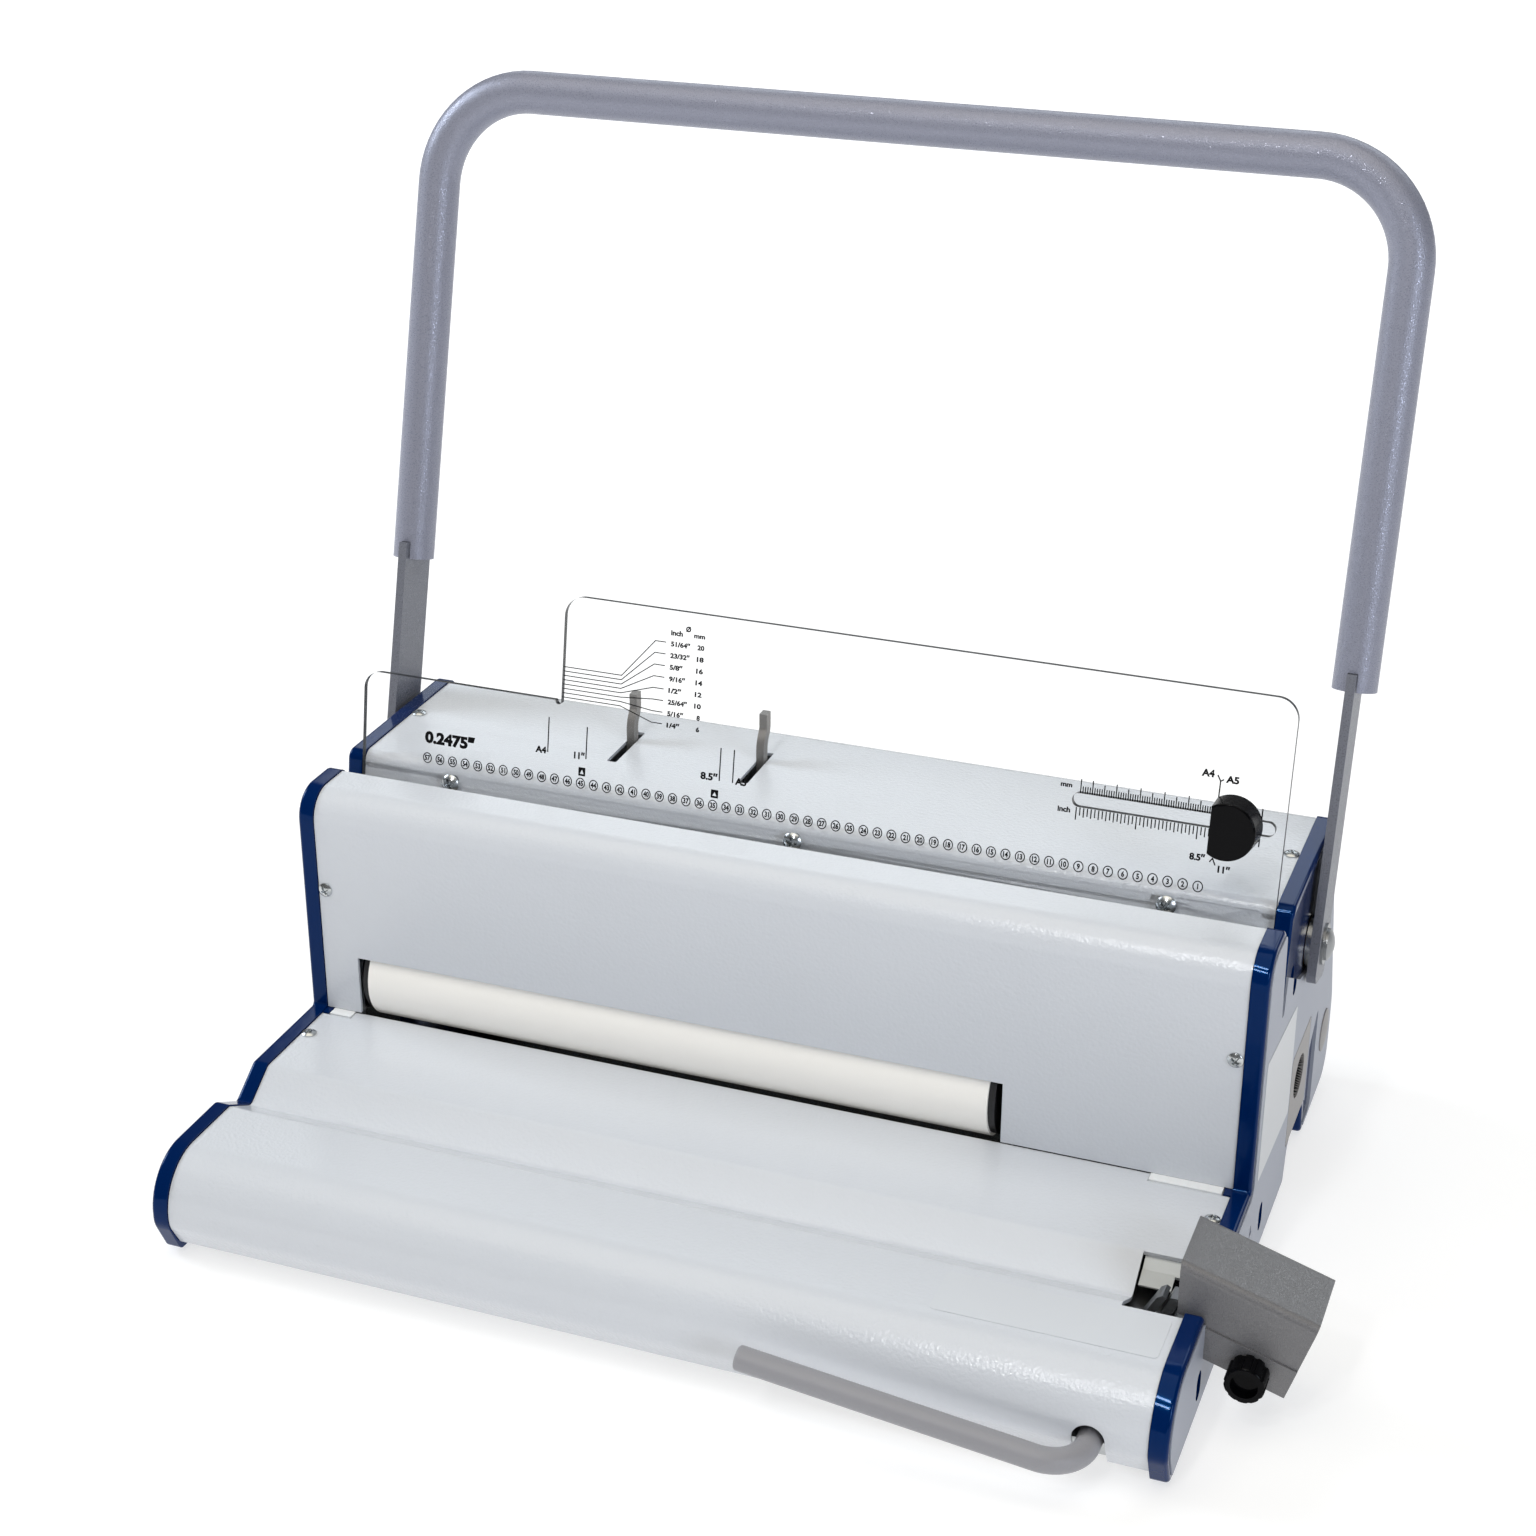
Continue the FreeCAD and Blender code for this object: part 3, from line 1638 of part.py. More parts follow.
def rubber_feet():
    feet = []
    for x in (-foot_x, foot_x):
        for y in (foot_front_y, foot_rear_y):
            foot = rod(foot_radius, vector(x, y, 0), vector(0, 0, 1), base_z)
            low = [e for e in foot.Edges if e.BoundBox.ZMax < 0.01]
            feet.append(foot.makeChamfer(foot_chamfer, low))
    return group(feet)


def chip_chute():
    """Slide that takes the chips over the roller and back into the drawer."""
    y = front_y + frame_proud + sheet
    knee = lean_point(-paper_gap - die_thick, punch_low_v)[1] - chute_under_die
    path = [
        (y, knee + chute_lip),
        (y, knee, 2),
        (roller_y + chute_behind_roller, roller_z + roller_radius + chute_over_roller, 4),
        (drawer_y0 - thin_sheet, drawer_z1 + chute_over_drawer),
    ]
    return x_prism(bent_sheet(path, thin_sheet), -chute_half, chute_half)


def drawer_rails():
    """Two rails on the base that the drawer slides on."""
    rails = []
    top = drawer_z0 - fit_gap
    for y in (drawer_y0 + rail_front_in, drawer_y1 - rail_rear_in):
        path = [
            (y, top),
            (y + rail_foot, top, 2.5),
            (y + rail_foot, bar_bottom, 2.5),
            (y, bar_bottom),
        ]
        outline = bent_sheet(path[::-1], sheet)
        rails.append(x_prism(outline, drawer_x0 + rail_front_in, frame_inner - fit_gap))
    return group(rails)


def chip_drawer():
    """Open tray with a front panel and an oval finger hole."""
    tray = box(drawer_x0, drawer_front_x, drawer_y0, drawer_y1, drawer_z0, drawer_z1)
    hollow = box(
        drawer_x0 + drawer_wall, drawer_front_x + 1,
        drawer_y0 + drawer_wall, drawer_y1 - drawer_wall,
        drawer_z0 + drawer_wall, drawer_z1 + 1,
    )
    panel = x_prism(
        [
            (panel_y0, panel_z0, panel_round),
            (panel_y1, panel_z0, panel_round),
            (panel_y1, panel_z1, panel_round),
            (panel_y0, panel_z1, panel_round),
        ],
        drawer_front_x,
        body_half,
    )
    ellipse = Part.Ellipse(
        vector(drawer_front_x - 1, finger_y, finger_z), finger_high / 2, finger_wide / 2
    )
    ellipse.Axis = vector(1, 0, 0)
    hole = Part.Face(Part.Wire([ellipse.toShape()])).extrude(vector(panel_thick + 2, 0, 0))
    return joined([tray.cut(hollow), panel]).cut(hole)


def power_inlet():
    """Socket and switch housing in the left side."""
    x1 = -(body_half)
    face = x1 - inlet_flange
    flange = box(face, x1, inlet_y - inlet_wide / 2, inlet_y + inlet_wide / 2,
                 inlet_z - inlet_high / 2, inlet_z + inlet_high / 2)
    edges = [e for e in flange.Edges if abs(e.BoundBox.XLength - inlet_flange) < 0.01]
    flange = flange.makeFillet(inlet_round, edges)
    half_wide = inlet_wide / 2 - inlet_wall
    half_high = inlet_high / 2 - inlet_wall
    body = box(x1, x1 + inlet_deep, inlet_y - half_wide, inlet_y + half_wide,
               inlet_z - half_high, inlet_z + half_high)
    hollow = box(face - 1, face + socket_deep,
                 inlet_y - socket_wide / 2, inlet_y + socket_wide / 2,
                 socket_z - socket_high / 2, socket_z + socket_high / 2)
    well_y = rocker_wide / 2 + rocker_gap
    well_z = rocker_high / 2 + rocker_gap
    well = box(face - 1, face + rocker_well,
               inlet_y - well_y, inlet_y + well_y, rocker_z - well_z, rocker_z + well_z)
    made = joined([flange, body]).cut([hollow, well])
    pins = []
    for way, rise in ((-1, -1), (1, -1), (0, 1)):
        x0 = face + socket_deep - socket_pin_deep
        y0 = inlet_y + way * socket_pin_out - socket_pin / 2
        z0 = socket_z + rise * socket_pin_down - socket_pin_high / 2
        pins.append(box(x0, face + socket_deep + 1, y0, y0 + socket_pin, z0, z0 + socket_pin_high))
    return joined([made] + pins)


def rocker_pivot():
    """Axis point of the rocker, on the middle of the switch."""
    return vector(-body_half - inlet_flange + rocker_sink, inlet_y, rocker_z)


def rocker_switch():
    """Rocker that tips about an axis along Y, drawn in its off position."""
    pivot = rocker_pivot()
    half = rocker_high / 2
    outline = [
        (pivot.x + rocker_back, pivot.z - half + 1.5),
        (pivot.x + rocker_back, pivot.z + half - 1.5),
        (pivot.x - rocker_out, pivot.z + half - 0.6, 0.8),
        (pivot.x - rocker_out + rocker_dip, pivot.z),
        (pivot.x - rocker_out, pivot.z - half + 0.6, 0.8),
    ]
    rocker = y_prism(outline, inlet_y - rocker_wide / 2, inlet_y + rocker_wide / 2)
    rocker.rotate(pivot, vector(0, 1, 0), rocker_swing_deg / 2)
    return rocker


def power_supply():
    """Supply board on stand-offs with its transformer."""
    board_z = bar_bottom + board_rise
    top = board_z + board_thick
    parts = [box(supply_x0, supply_x1, supply_y0, supply_y1, board_z, top)]
    for x in (supply_x0 + post_inset, supply_x1 - post_inset):
        for y in (supply_y0 + post_inset, supply_y1 - post_inset):
            parts.append(rod(post_radius, vector(x, y, bar_bottom), vector(0, 0, 1), board_rise))
    x0 = supply_x0 + coil_block_inset
    parts.append(box(x0, x0 + coil_block_long, supply_y0 + coil_block_edge,
                     supply_y1 - coil_block_edge, top, top + coil_block_high))
    can = vector(supply_x1 - can_inset, supply_y0 + can_inset, top)
    parts.append(rod(can_radius, can, vector(0, 0, 1), can_high))
    return joined(parts)


def crimp_point(along, down):
    """X and Z of a point in the hood's tilted front view."""
    a = math.radians(crimp_deg)
    return (
        crimp_x + along * math.cos(a) - down * math.sin(a),
        crimp_z - along * math.sin(a) - down * math.cos(a),
    )


def tilted_box(a0, a1, y0, y1, d0, d1):
    points = [crimp_point(a0, d0), crimp_point(a1, d0), crimp_point(a1, d1), crimp_point(a0, d1)]
    return y_prism(points, y0, y1)


def crimper_hood():
    """Folded hood over the crimper, open below and on the left."""
    outer = tilted_box(0, hood_long, hood_y0, hood_y1, 0, hood_high)
    top = [
        e for e in outer.Edges
        if abs(e.Length - hood_long) < 0.01 and e.BoundBox.ZMax > crimp_z - 0.01
    ]
    outer = outer.makeFillet(hood_bend, top)
    t = hood_sheet
    inner = tilted_box(-hood_long, hood_long - t, hood_y0 + t, hood_y1 - t, t, hood_high + 5)
    side = box(hood_left_x - hood_long, hood_left_x, hood_y0 - 5, hood_y1 + 5, 0, body_height)
    return outer.cut([inner, side])


def knob_point(y):
    x, z = crimp_point(knob_along, knob_down)
    return vector(x, y, z)


def crimper_casting():
    """Crimper body on the outside of the right plate, with a ledge and a neck over the rim."""
    t = hood_sheet + seat_gap
    y0, y1 = hood_y0 + t, hood_y1 - t
    inside = tilted_box(-casting_in, hood_long - t, y0, y1, t, casting_low)
    ledge = tilted_box(-casting_in, hood_long, casting_y0, hood_y1, hood_high + seat_gap, casting_low)
    block = joined([inside, ledge])
    outside = box(body_half, body_half + 2 * hood_long, casting_y0 - 1, hood_y1 + 1, 0, body_height)
    neck_side = box(hood_left_x + 1, body_half + 1, y0 - 1, y1 + 1, 0, body_height)
    neck = tilted_box(-casting_in, hood_long - t, y0, y1, t, neck_low).common(neck_side)
    body = joined([block.common(outside), neck])
    hole = rod(knob_screw + run_gap, knob_point(casting_y0 - 1), vector(0, 1, 0), knob_screw_long)
    return body.cut(hole)


def crimper_knob():
    """Scalloped thumb screw on the casting's front."""
    front = knob_point(casting_y0 - knob_long)
    grip = rod(knob_radius, front, vector(0, 1, 0), knob_long - fit_gap)
    edges = [e for e in grip.Edges if e.BoundBox.YMax < front.y + 0.01]
    grip = grip.makeFillet(1.0, edges)
    cuts = [rod(knob_dish_radius, front - vector(0, 1, 0), vector(0, 1, 0), knob_dish)]
    for i in range(knob_grips):
        angle = 2 * math.pi * i / knob_grips
        reach = knob_radius + knob_grip * 0.4
        start = front + vector(reach * math.cos(angle), -1, reach * math.sin(angle))
        cuts.append(rod(knob_grip, start, vector(0, 1, 0), knob_long + 4))
    screw = rod(knob_screw, front + vector(0, knob_long - 3, 0), vector(0, 1, 0), knob_screw_long)
    return joined([grip.cut(cuts), screw])


def crimper_block():
    """Bearing block inside the right frame, for lever shaft and jaw."""
    block = box(block_x0, frame_inner, block_y0, block_y1, bar_bottom, block_z1)
    slot = box(jaw_pin_x - jaw_eye - 1.5, frame_inner + 1, jaw_y0 - jaw_gap, jaw_y1 + jaw_gap,
               block_slot_z, block_z1 + 1)
    shaft = rod(lever_rod + run_gap, vector(arch_x, block_y0 - 1, lever_shaft_z),
                vector(0, 1, 0), block_deep + 2)
    pin = jaw_pin_rod()
    return block.cut([slot, shaft, pin])


def jaw_pin_rod():
    return rod(jaw_pin, vector(jaw_pin_x, block_y0 + jaw_pin_in, jaw_pin_z),
               vector(0, 1, 0), jaw_pin_long)


def crimper_jaw():
    """Moving blade that closes against the anvil."""
    eye = rod(jaw_eye, vector(jaw_pin_x, jaw_y0, jaw_pin_z), vector(0, 1, 0), jaw_y1 - jaw_y0)
    dx, dz = jaw_tip_x - jaw_pin_x, jaw_tip_z - jaw_pin_z
    long = math.hypot(dx, dz)
    ax, az = dz / long * jaw_thick / 2, -dx / long * jaw_thick / 2
    blade = y_prism(
        [
            (jaw_pin_x - ax, jaw_pin_z - az),
            (jaw_pin_x + ax, jaw_pin_z + az),
            (jaw_tip_x + ax, jaw_tip_z + az),
            (jaw_tip_x - ax * 0.2, jaw_tip_z - az * 0.2),
            (jaw_tip_x - ax - dx * 0.1, jaw_tip_z - az - dz * 0.1),
        ],
        jaw_y0,
        jaw_y1,
    )
    bore = rod(jaw_pin + run_gap, vector(jaw_pin_x, jaw_y0 - 1, jaw_pin_z),
               vector(0, 1, 0), jaw_wide + 2)
    return joined([eye, blade]).cut(bore)


def crimper_anvil():
    """Fixed cutting bar and thin stop blade, standing in the block's slot."""
    half = anvil_thick / 2
    foot_x = anvil_x - anvil_lean
    knee = jaw_tip_z - anvil_knee
    bar = y_prism(
        [
            (foot_x, block_slot_z),
            (foot_x + anvil_thick, block_slot_z),
            (foot_x + anvil_thick, knee),
            (anvil_x + half, jaw_tip_z),
            (anvil_x - half, jaw_tip_z),
            (foot_x, knee),
        ],
        jaw_y0,
        jaw_y1,
    )
    x0 = foot_x + anvil_thick + stop_gap
    x1 = x0 + stop_thick
    knee = jaw_tip_z - stop_knee
    top = jaw_tip_z - stop_down
    stop = y_prism(
        [
            (x0, block_slot_z),
            (x1, block_slot_z),
            (x1, knee),
            (x1 + stop_lean, top),
            (x0 + stop_lean, top),
            (x0, knee),
        ],
        jaw_y0,
        jaw_y1,
    )
    return group([bar, stop])


def crimper_guide():
    """Polished lip under the deck's opening that leads the coil to the blades."""
    under = deck_z - frame_proud - sheet - lip_gap
    path = [
        (deck_edge_y + lip_back, under),
        (deck_edge_y - 1, under, 1.6),
        (deck_edge_y - lip_front, under - lip_drop, 1.6),
        (deck_edge_y - lip_tip_front, under - lip_tip_drop),
    ]
    x1 = anvil_x - thin_sheet
    lip = x_prism(bent_sheet(path, thin_sheet), opening_x0 + 1, x1)
    relief_y = deck_edge_y - lip_tip_front - 1
    relief = box(x1 - lip_relief, x1 + 1, relief_y, relief_y + 7, groove_z - 5, deck_z)
    return lip.cut(relief)


def lever_path():
    """Route of the crimper lever: in along Y, round the bend, out to the left."""
    rise = math.radians(lever_rise_deg)
    corner_at = vector(arch_x, lever_front_y, lever_shaft_z)
    way_in = vector(0, 1, 0)
    way_out = vector(-math.cos(rise), 0, math.sin(rise))
    return corner_at, way_in, way_out


def crimper_lever():
    """Bent round rod: shaft in the block, handle run in front of the roll."""
    corner_at, way_in, way_out = lever_path()
    reach = lever_run_long / -way_out.x
    start = vector(arch_x, block_y1, lever_shaft_z)
    bend0 = corner_at + way_in * lever_bend
    bend1 = corner_at + way_out * lever_bend
    middle_way = (way_in + way_out).normalize()
    middle = corner_at + middle_way * (lever_bend * (math.sqrt(2) - 1))
    end = corner_at + way_out * reach
    path = Part.Wire([
        Part.LineSegment(start, bend0).toShape(),
        Part.Arc(bend0, middle, bend1).toShape(),
        Part.LineSegment(bend1, end).toShape(),
    ])
    ring = Part.Wire([Part.Circle(start, vector(0, -1, 0), lever_rod).toShape()])
    bar = path.makePipeShell([ring], True, True)
    tip = [e for e in bar.Edges if e.BoundBox.XMax < end.x + lever_rod]
    return bar.makeFillet(lever_tip_round, tip)


def crimper_crank():
    """Crank on the lever's shaft in front of the bearing block."""
    y1 = block_y0 - fit_gap
    y0 = y1 - crank_thick
    hub = rod(lever_rod + crank_hub, vector(arch_x, y0, lever_shaft_z), vector(0, 1, 0), crank_thick)
    arm = y_prism(
        [
            (arch_x, lever_shaft_z - crank_half - 1),
            (arch_x + crank_long, lever_shaft_z - crank_half, crank_half - 0.1),
            (arch_x + crank_long, lever_shaft_z + crank_half, crank_half - 0.1),
            (arch_x, lever_shaft_z + crank_half + 1),
        ],
        y0,
        y1,
    )
    bore = rod(lever_rod, vector(arch_x, y0 - 1, lever_shaft_z), vector(0, 1, 0), crank_thick + 2)
    return joined([hub, arm]).cut(bore)


def build():
    """Every node by name."""
    return {
        "base_plate": base_plate(),
        "rubber_feet": rubber_feet(),
        "side_frame_left": side_frame_left(),
        "side_frame_right": side_frame_right(),
        "side_plate_left": side_plate_left(),
        "side_plate_right": side_plate_right(),
        "side_screws": side_screws(),
        "side_cap": side_cap(),
        "front_cover": front_cover(),
        "deck_cover": deck_cover(),
        "deck_rail": deck_rail(),
        "top_cover": top_cover(),
        "rear_cover": rear_cover(),
        "cover_screws": cover_screws(),
        "clear_plate": clear_plate(),
        "dome_bolts": dome_bolts(),
        "side_guide_knob": side_guide_knob(),
        "side_guide_clamp": side_guide_clamp(),
        "punch_guide": punch_guide(),
        "punch_die": punch_die(),
        "paper_stop": paper_stop(),
        "guide_rods": guide_rods(),
        "ram_bar": ram_bar(),
        "punch_pins": punch_pins(),
        "racks": racks(),
        "size_lever_45": size_lever(lever_places[0]),
        "size_lever_35": size_lever(lever_places[1]),
        "drive_shaft": drive_shaft(),
        "pinions": pinions(),
        "shaft_bushes": shaft_bushes(),
        "arm_spacers": arm_spacers(),
        "handle_arms": handle_arms(),
        "handle_tube": handle_tube(),
        "pivot_screws": pivot_screws(),
        "coil_roller": coil_roller(),
        "roller_shaft": roller_shaft(),
        "roller_pulley": roller_pulley_wheel(),
        "roller_brackets": roller_brackets(),
        "drive_belt": drive_belt(),
        "motor_pulley": motor_pulley_wheel(),
        "motor_bracket": motor_bracket(),
        "roller_motor": roller_motor(),
        "power_supply": power_supply(),
        "power_inlet": power_inlet(),
        "rocker_switch": rocker_switch(),
        "chip_chute": chip_chute(),
        "drawer_rails": drawer_rails(),
        "chip_drawer": chip_drawer(),
        "crimper_hood": crimper_hood(),
        "crimper_casting": crimper_casting(),
        "crimper_knob": crimper_knob(),
        "crimper_guide": crimper_guide(),
        "crimper_block": crimper_block(),
        "crimper_jaw_pin": jaw_pin_rod(),
        "crimper_anvil": crimper_anvil(),
        "crimper_jaw": crimper_jaw(),
        "crimper_lever": crimper_lever(),
        "crimper_crank": crimper_crank(),
    }


def origin_shift():
    """Move that brings the middle of the bounding box over the origin."""
    left = -(arm_x + arm_thick / 2 + washer_thick + pivot_dome)
    left = min(left, -(tube_x + tube_radius))
    right = crimp_point(hood_long, 0)[0]
    front = lever_front_y - lever_rod
    rear = handle_up(handle_reach, 0)[0] + tube_radius
    return vector(-(left + right) / 2, -(front + rear) / 2, 0)


nodes = build()
shift = origin_shift()
os.makedirs("parts", exist_ok=True)
for name, shape in nodes.items():
    shape.translate(shift)
    shape.exportStep(os.path.join("parts", name + ".step"))
    print(name, len(shape.Solids), "solids,", "valid" if shape.isValid() else "NOT VALID")
print("shift", round(shift.x, 3), round(shift.y, 3))
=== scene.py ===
import json
import math

import bpy
import numpy as np
from mathutils import Matrix, Vector


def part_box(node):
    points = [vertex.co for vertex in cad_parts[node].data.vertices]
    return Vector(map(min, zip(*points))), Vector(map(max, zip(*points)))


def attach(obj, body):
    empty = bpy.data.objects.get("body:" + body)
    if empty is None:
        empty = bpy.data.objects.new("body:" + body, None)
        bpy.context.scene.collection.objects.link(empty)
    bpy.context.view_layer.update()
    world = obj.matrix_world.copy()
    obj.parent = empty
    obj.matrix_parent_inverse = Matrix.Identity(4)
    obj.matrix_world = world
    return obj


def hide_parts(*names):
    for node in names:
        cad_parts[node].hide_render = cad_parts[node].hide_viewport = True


# Coil binding machine: finishes, print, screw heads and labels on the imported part, and a studio

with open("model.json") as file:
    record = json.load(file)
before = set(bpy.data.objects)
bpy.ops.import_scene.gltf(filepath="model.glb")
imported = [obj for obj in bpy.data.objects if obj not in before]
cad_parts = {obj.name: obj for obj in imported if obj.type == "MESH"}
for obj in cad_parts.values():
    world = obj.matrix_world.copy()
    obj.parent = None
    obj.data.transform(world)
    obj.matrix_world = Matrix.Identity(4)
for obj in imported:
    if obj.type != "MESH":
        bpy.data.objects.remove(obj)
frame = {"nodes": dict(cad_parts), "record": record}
nodes = frame["nodes"]
scene = bpy.context.scene
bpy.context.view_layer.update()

# Sizes of the build, with lengths in millimetres: the clear plate's lean, the height of the row
# of hole numbers, their pitch and count, the planes of the side screws' seats and of the right
# side plate, and the rear cover's rear face
LEAN = math.radians(10.25)
LEAN_COS, LEAN_SIN = math.cos(LEAN), math.sin(LEAN)
RING_Z = 158.5
PITCH = 6.2865
HOLES = 57
SEAT_X = 213.0
FACE_X = 217.0
REAR_Y = 136.0

# The build's origin in the frame, in metres
cover_low, cover_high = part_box("front_cover")
SHIFT = np.array([(cover_low.x + cover_high.x) / 2,
                  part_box("rear_cover")[1].y - REAR_Y / 1000, 0.0])

# Edges above this angle stay sharp
SHARP = math.radians(30)


def metres(points):
    """Build millimetres to frame metres: a thousandth of each, plus the frame's shift."""
    return np.asarray(points, float) / 1000 + SHIFT


def lean(x, u, v):
    """Build point u behind the clear plate's front face and v up along it: both are turned by the
    lean about the line of the hole numbers."""
    return np.stack(np.broadcast_arrays(
        x, u * LEAN_COS + v * LEAN_SIN, RING_Z - u * LEAN_SIN + v * LEAN_COS), axis=-1)


# Shader helpers


def put(tree, kind, inputs=(), **settings):
    """Adds a node, sets its properties, links the inputs that are sockets and sets the others."""
    made = tree.nodes.new(kind)
    for key, value in settings.items():
        setattr(made, key, value)
    for key, value in dict(inputs).items():
        if isinstance(value, bpy.types.NodeSocket):
            tree.links.new(value, made.inputs[key])
        else:
            made.inputs[key].default_value = value
    return made


def group(name, inputs, outputs):
    """An empty node group with a Place vector input, these float inputs and float outputs."""
    tree = bpy.data.node_groups.new(name, "ShaderNodeTree")
    tree.interface.new_socket("Place", in_out="INPUT", socket_type="NodeSocketVector")
    for key in inputs:
        tree.interface.new_socket(key, in_out="INPUT", socket_type="NodeSocketFloat")
    for key in outputs:
        tree.interface.new_socket(key, in_out="OUTPUT", socket_type="NodeSocketFloat")
    return tree, tree.nodes.new("NodeGroupInput").outputs, tree.nodes.new("NodeGroupOutput").inputs


def grain_group():
    """Fine skin of sprayed paint: soft noise, with a slow drift of tone beside it."""
    tree, given, out = group("paint grain", ("Scale",), ("Height", "Drift"))
    fine = put(tree, "ShaderNodeTexNoise", {"Vector": given["Place"], "Scale": given["Scale"],
                                            "Detail": 2.0, "Roughness": 0.45})
    slow = put(tree, "ShaderNodeTexNoise", {"Vector": given["Place"], "Scale": 14.0, "Detail": 1.0})
    tree.links.new(fine.outputs["Fac"], out["Height"])
    tree.links.new(slow.outputs["Fac"], out["Drift"])
    return tree


def hammer_group():
    """Hammered paint: round cells with soft valleys, and small flakes that shine more."""
    tree, given, out = group("hammered paint", ("Scale", "Specks"), ("Height", "Speck"))
    cells = put(tree, "ShaderNodeTexVoronoi", {"Vector": given["Place"], "Scale": given["Scale"],
                                               "Smoothness": 0.6}, feature="SMOOTH_F1")
    spots = put(tree, "ShaderNodeTexVoronoi", {"Vector": given["Place"], "Scale": 3000.0})
    pick = put(tree, "ShaderNodeSeparateColor", {"Color": spots.outputs["Color"]})
    limit = put(tree, "ShaderNodeMath", {0: 1.0, 1: given["Specks"]}, operation="SUBTRACT")
    bright = put(tree, "ShaderNodeMath", {0: pick.outputs[0], 1: limit.outputs[0]},
                 operation="GREATER_THAN")
    tree.links.new(cells.outputs["Distance"], out["Height"])
    tree.links.new(bright.outputs[0], out["Speck"])
    return tree


def brush_group():
    """Brushed or drawn metal: noise pulled long in X, beside small even pits."""
    tree, given, out = group("brushed metal", ("Scale",), ("Height", "Drift"))
    pull = put(tree, "ShaderNodeVectorMath", {0: given["Place"], 1: (0.06, 1.0, 1.0)},
               operation="MULTIPLY")
    lines = put(tree, "ShaderNodeTexNoise", {"Vector": pull.outputs[0], "Scale": given["Scale"],
                                             "Detail": 3.0})
    slow = put(tree, "ShaderNodeTexNoise", {"Vector": given["Place"], "Scale": 40.0, "Detail": 2.0})
    tree.links.new(lines.outputs["Fac"], out["Height"])
    tree.links.new(slow.outputs["Fac"], out["Drift"])
    return tree


GRAIN, HAMMER, BRUSH = grain_group(), hammer_group(), brush_group()


def srgb(*values):
    """Linear colour for 0 to 255 screen values, by the sRGB curve."""
    unit = [v / 255 for v in values]
    return tuple(v / 12.92 if v <= 0.04045 else ((v + 0.055) / 1.055) ** 2.4 for v in unit) + (1.0,)


# Sockets of a Mix node that mixes colours: its two inputs and its output
COLOUR_A, COLOUR_B, COLOUR_OUT = 6, 7, 2


def surface(name, colour, effect, scale, bump, tone, rough, specks=None, **own):
    """A Principled material: the effect group gives the height, in steps of bump metres, and its
    second output moves the colour by the tone's share down or up and the roughness between its
    two values. Without a tone the colour is plain, and without a bump the surface is. What else
    is given is set on the shader."""
    made = bpy.data.materials.new(name)
    made.use_nodes = True
    tree = made.node_tree
    shader = tree.nodes["Principled BSDF"]
    place = put(tree, "ShaderNodeTexCoord").outputs["Object"]
    look = put(tree, "ShaderNodeGroup", node_tree=effect)
    tree.links.new(place, look.inputs["Place"])
    look.inputs["Scale"].default_value = scale
    if specks is not None:
        look.inputs["Specks"].default_value = specks
    part = look.outputs[1]
    if tone:
        dark = tuple(c * (1 - tone) for c in colour[:3]) + (1.0,)
        light = tuple(min(1.0, c * (1 + tone)) for c in colour[:3]) + (1.0,)
        blend = put(tree, "ShaderNodeMix", {"Factor": part, COLOUR_A: dark, COLOUR_B: light},
                    data_type="RGBA")
        tree.links.new(blend.outputs[COLOUR_OUT], shader.inputs["Base Color"])
    else:
        shader.inputs["Base Color"].default_value = colour
    shine = put(tree, "ShaderNodeMapRange", {"Value": part, "To Min": rough[0], "To Max": rough[1]})
    tree.links.new(shine.outputs["Result"], shader.inputs["Roughness"])
    if bump:
        relief = put(tree, "ShaderNodeBump", {"Height": look.outputs["Height"], "Strength": 1.0,
                                              "Distance": bump})
        tree.links.new(relief.outputs["Normal"], shader.inputs["Normal"])
    for key, value in own.items():
        shader.inputs[key.replace("_", " ")].default_value = value
    return made


# Vertices this close in metres are joined
JOIN_WITHIN = 0.000002
# Width in metres of the rounding shown on the edges of these nodes
ROUNDED = {"side_frame_left": 0.0013, "side_frame_right": 0.0013, "crimper_hood": 0.0005,
           "crimper_casting": 0.0004, "handle_arms": 0.0005, "side_plate_left": 0.0003,
           "side_plate_right": 0.0003, "side_guide_knob": 0.0006}


def smooth_up(name):
    """Joins a node's loose triangles, rounds its edges if listed, splits its sharp edges and
    lets the largest faces lead the normals, so that bends look smooth and flats stay flat."""
    node = nodes[name]
    mesh = node.data
    mesh.polygons.foreach_set("use_smooth", np.ones(len(mesh.polygons), bool))
    node.modifiers.new("join", "WELD").merge_threshold = JOIN_WITHIN
    if name in ROUNDED:
        rounding = node.modifiers.new("rounding", "BEVEL")
        rounding.width, rounding.segments = ROUNDED[name], 3
        rounding.limit_method, rounding.angle_limit = "ANGLE", SHARP
    node.modifiers.new("edges", "EDGE_SPLIT").split_angle = SHARP
    node.modifiers.new("normals", "WEIGHTED_NORMAL").weight = 50


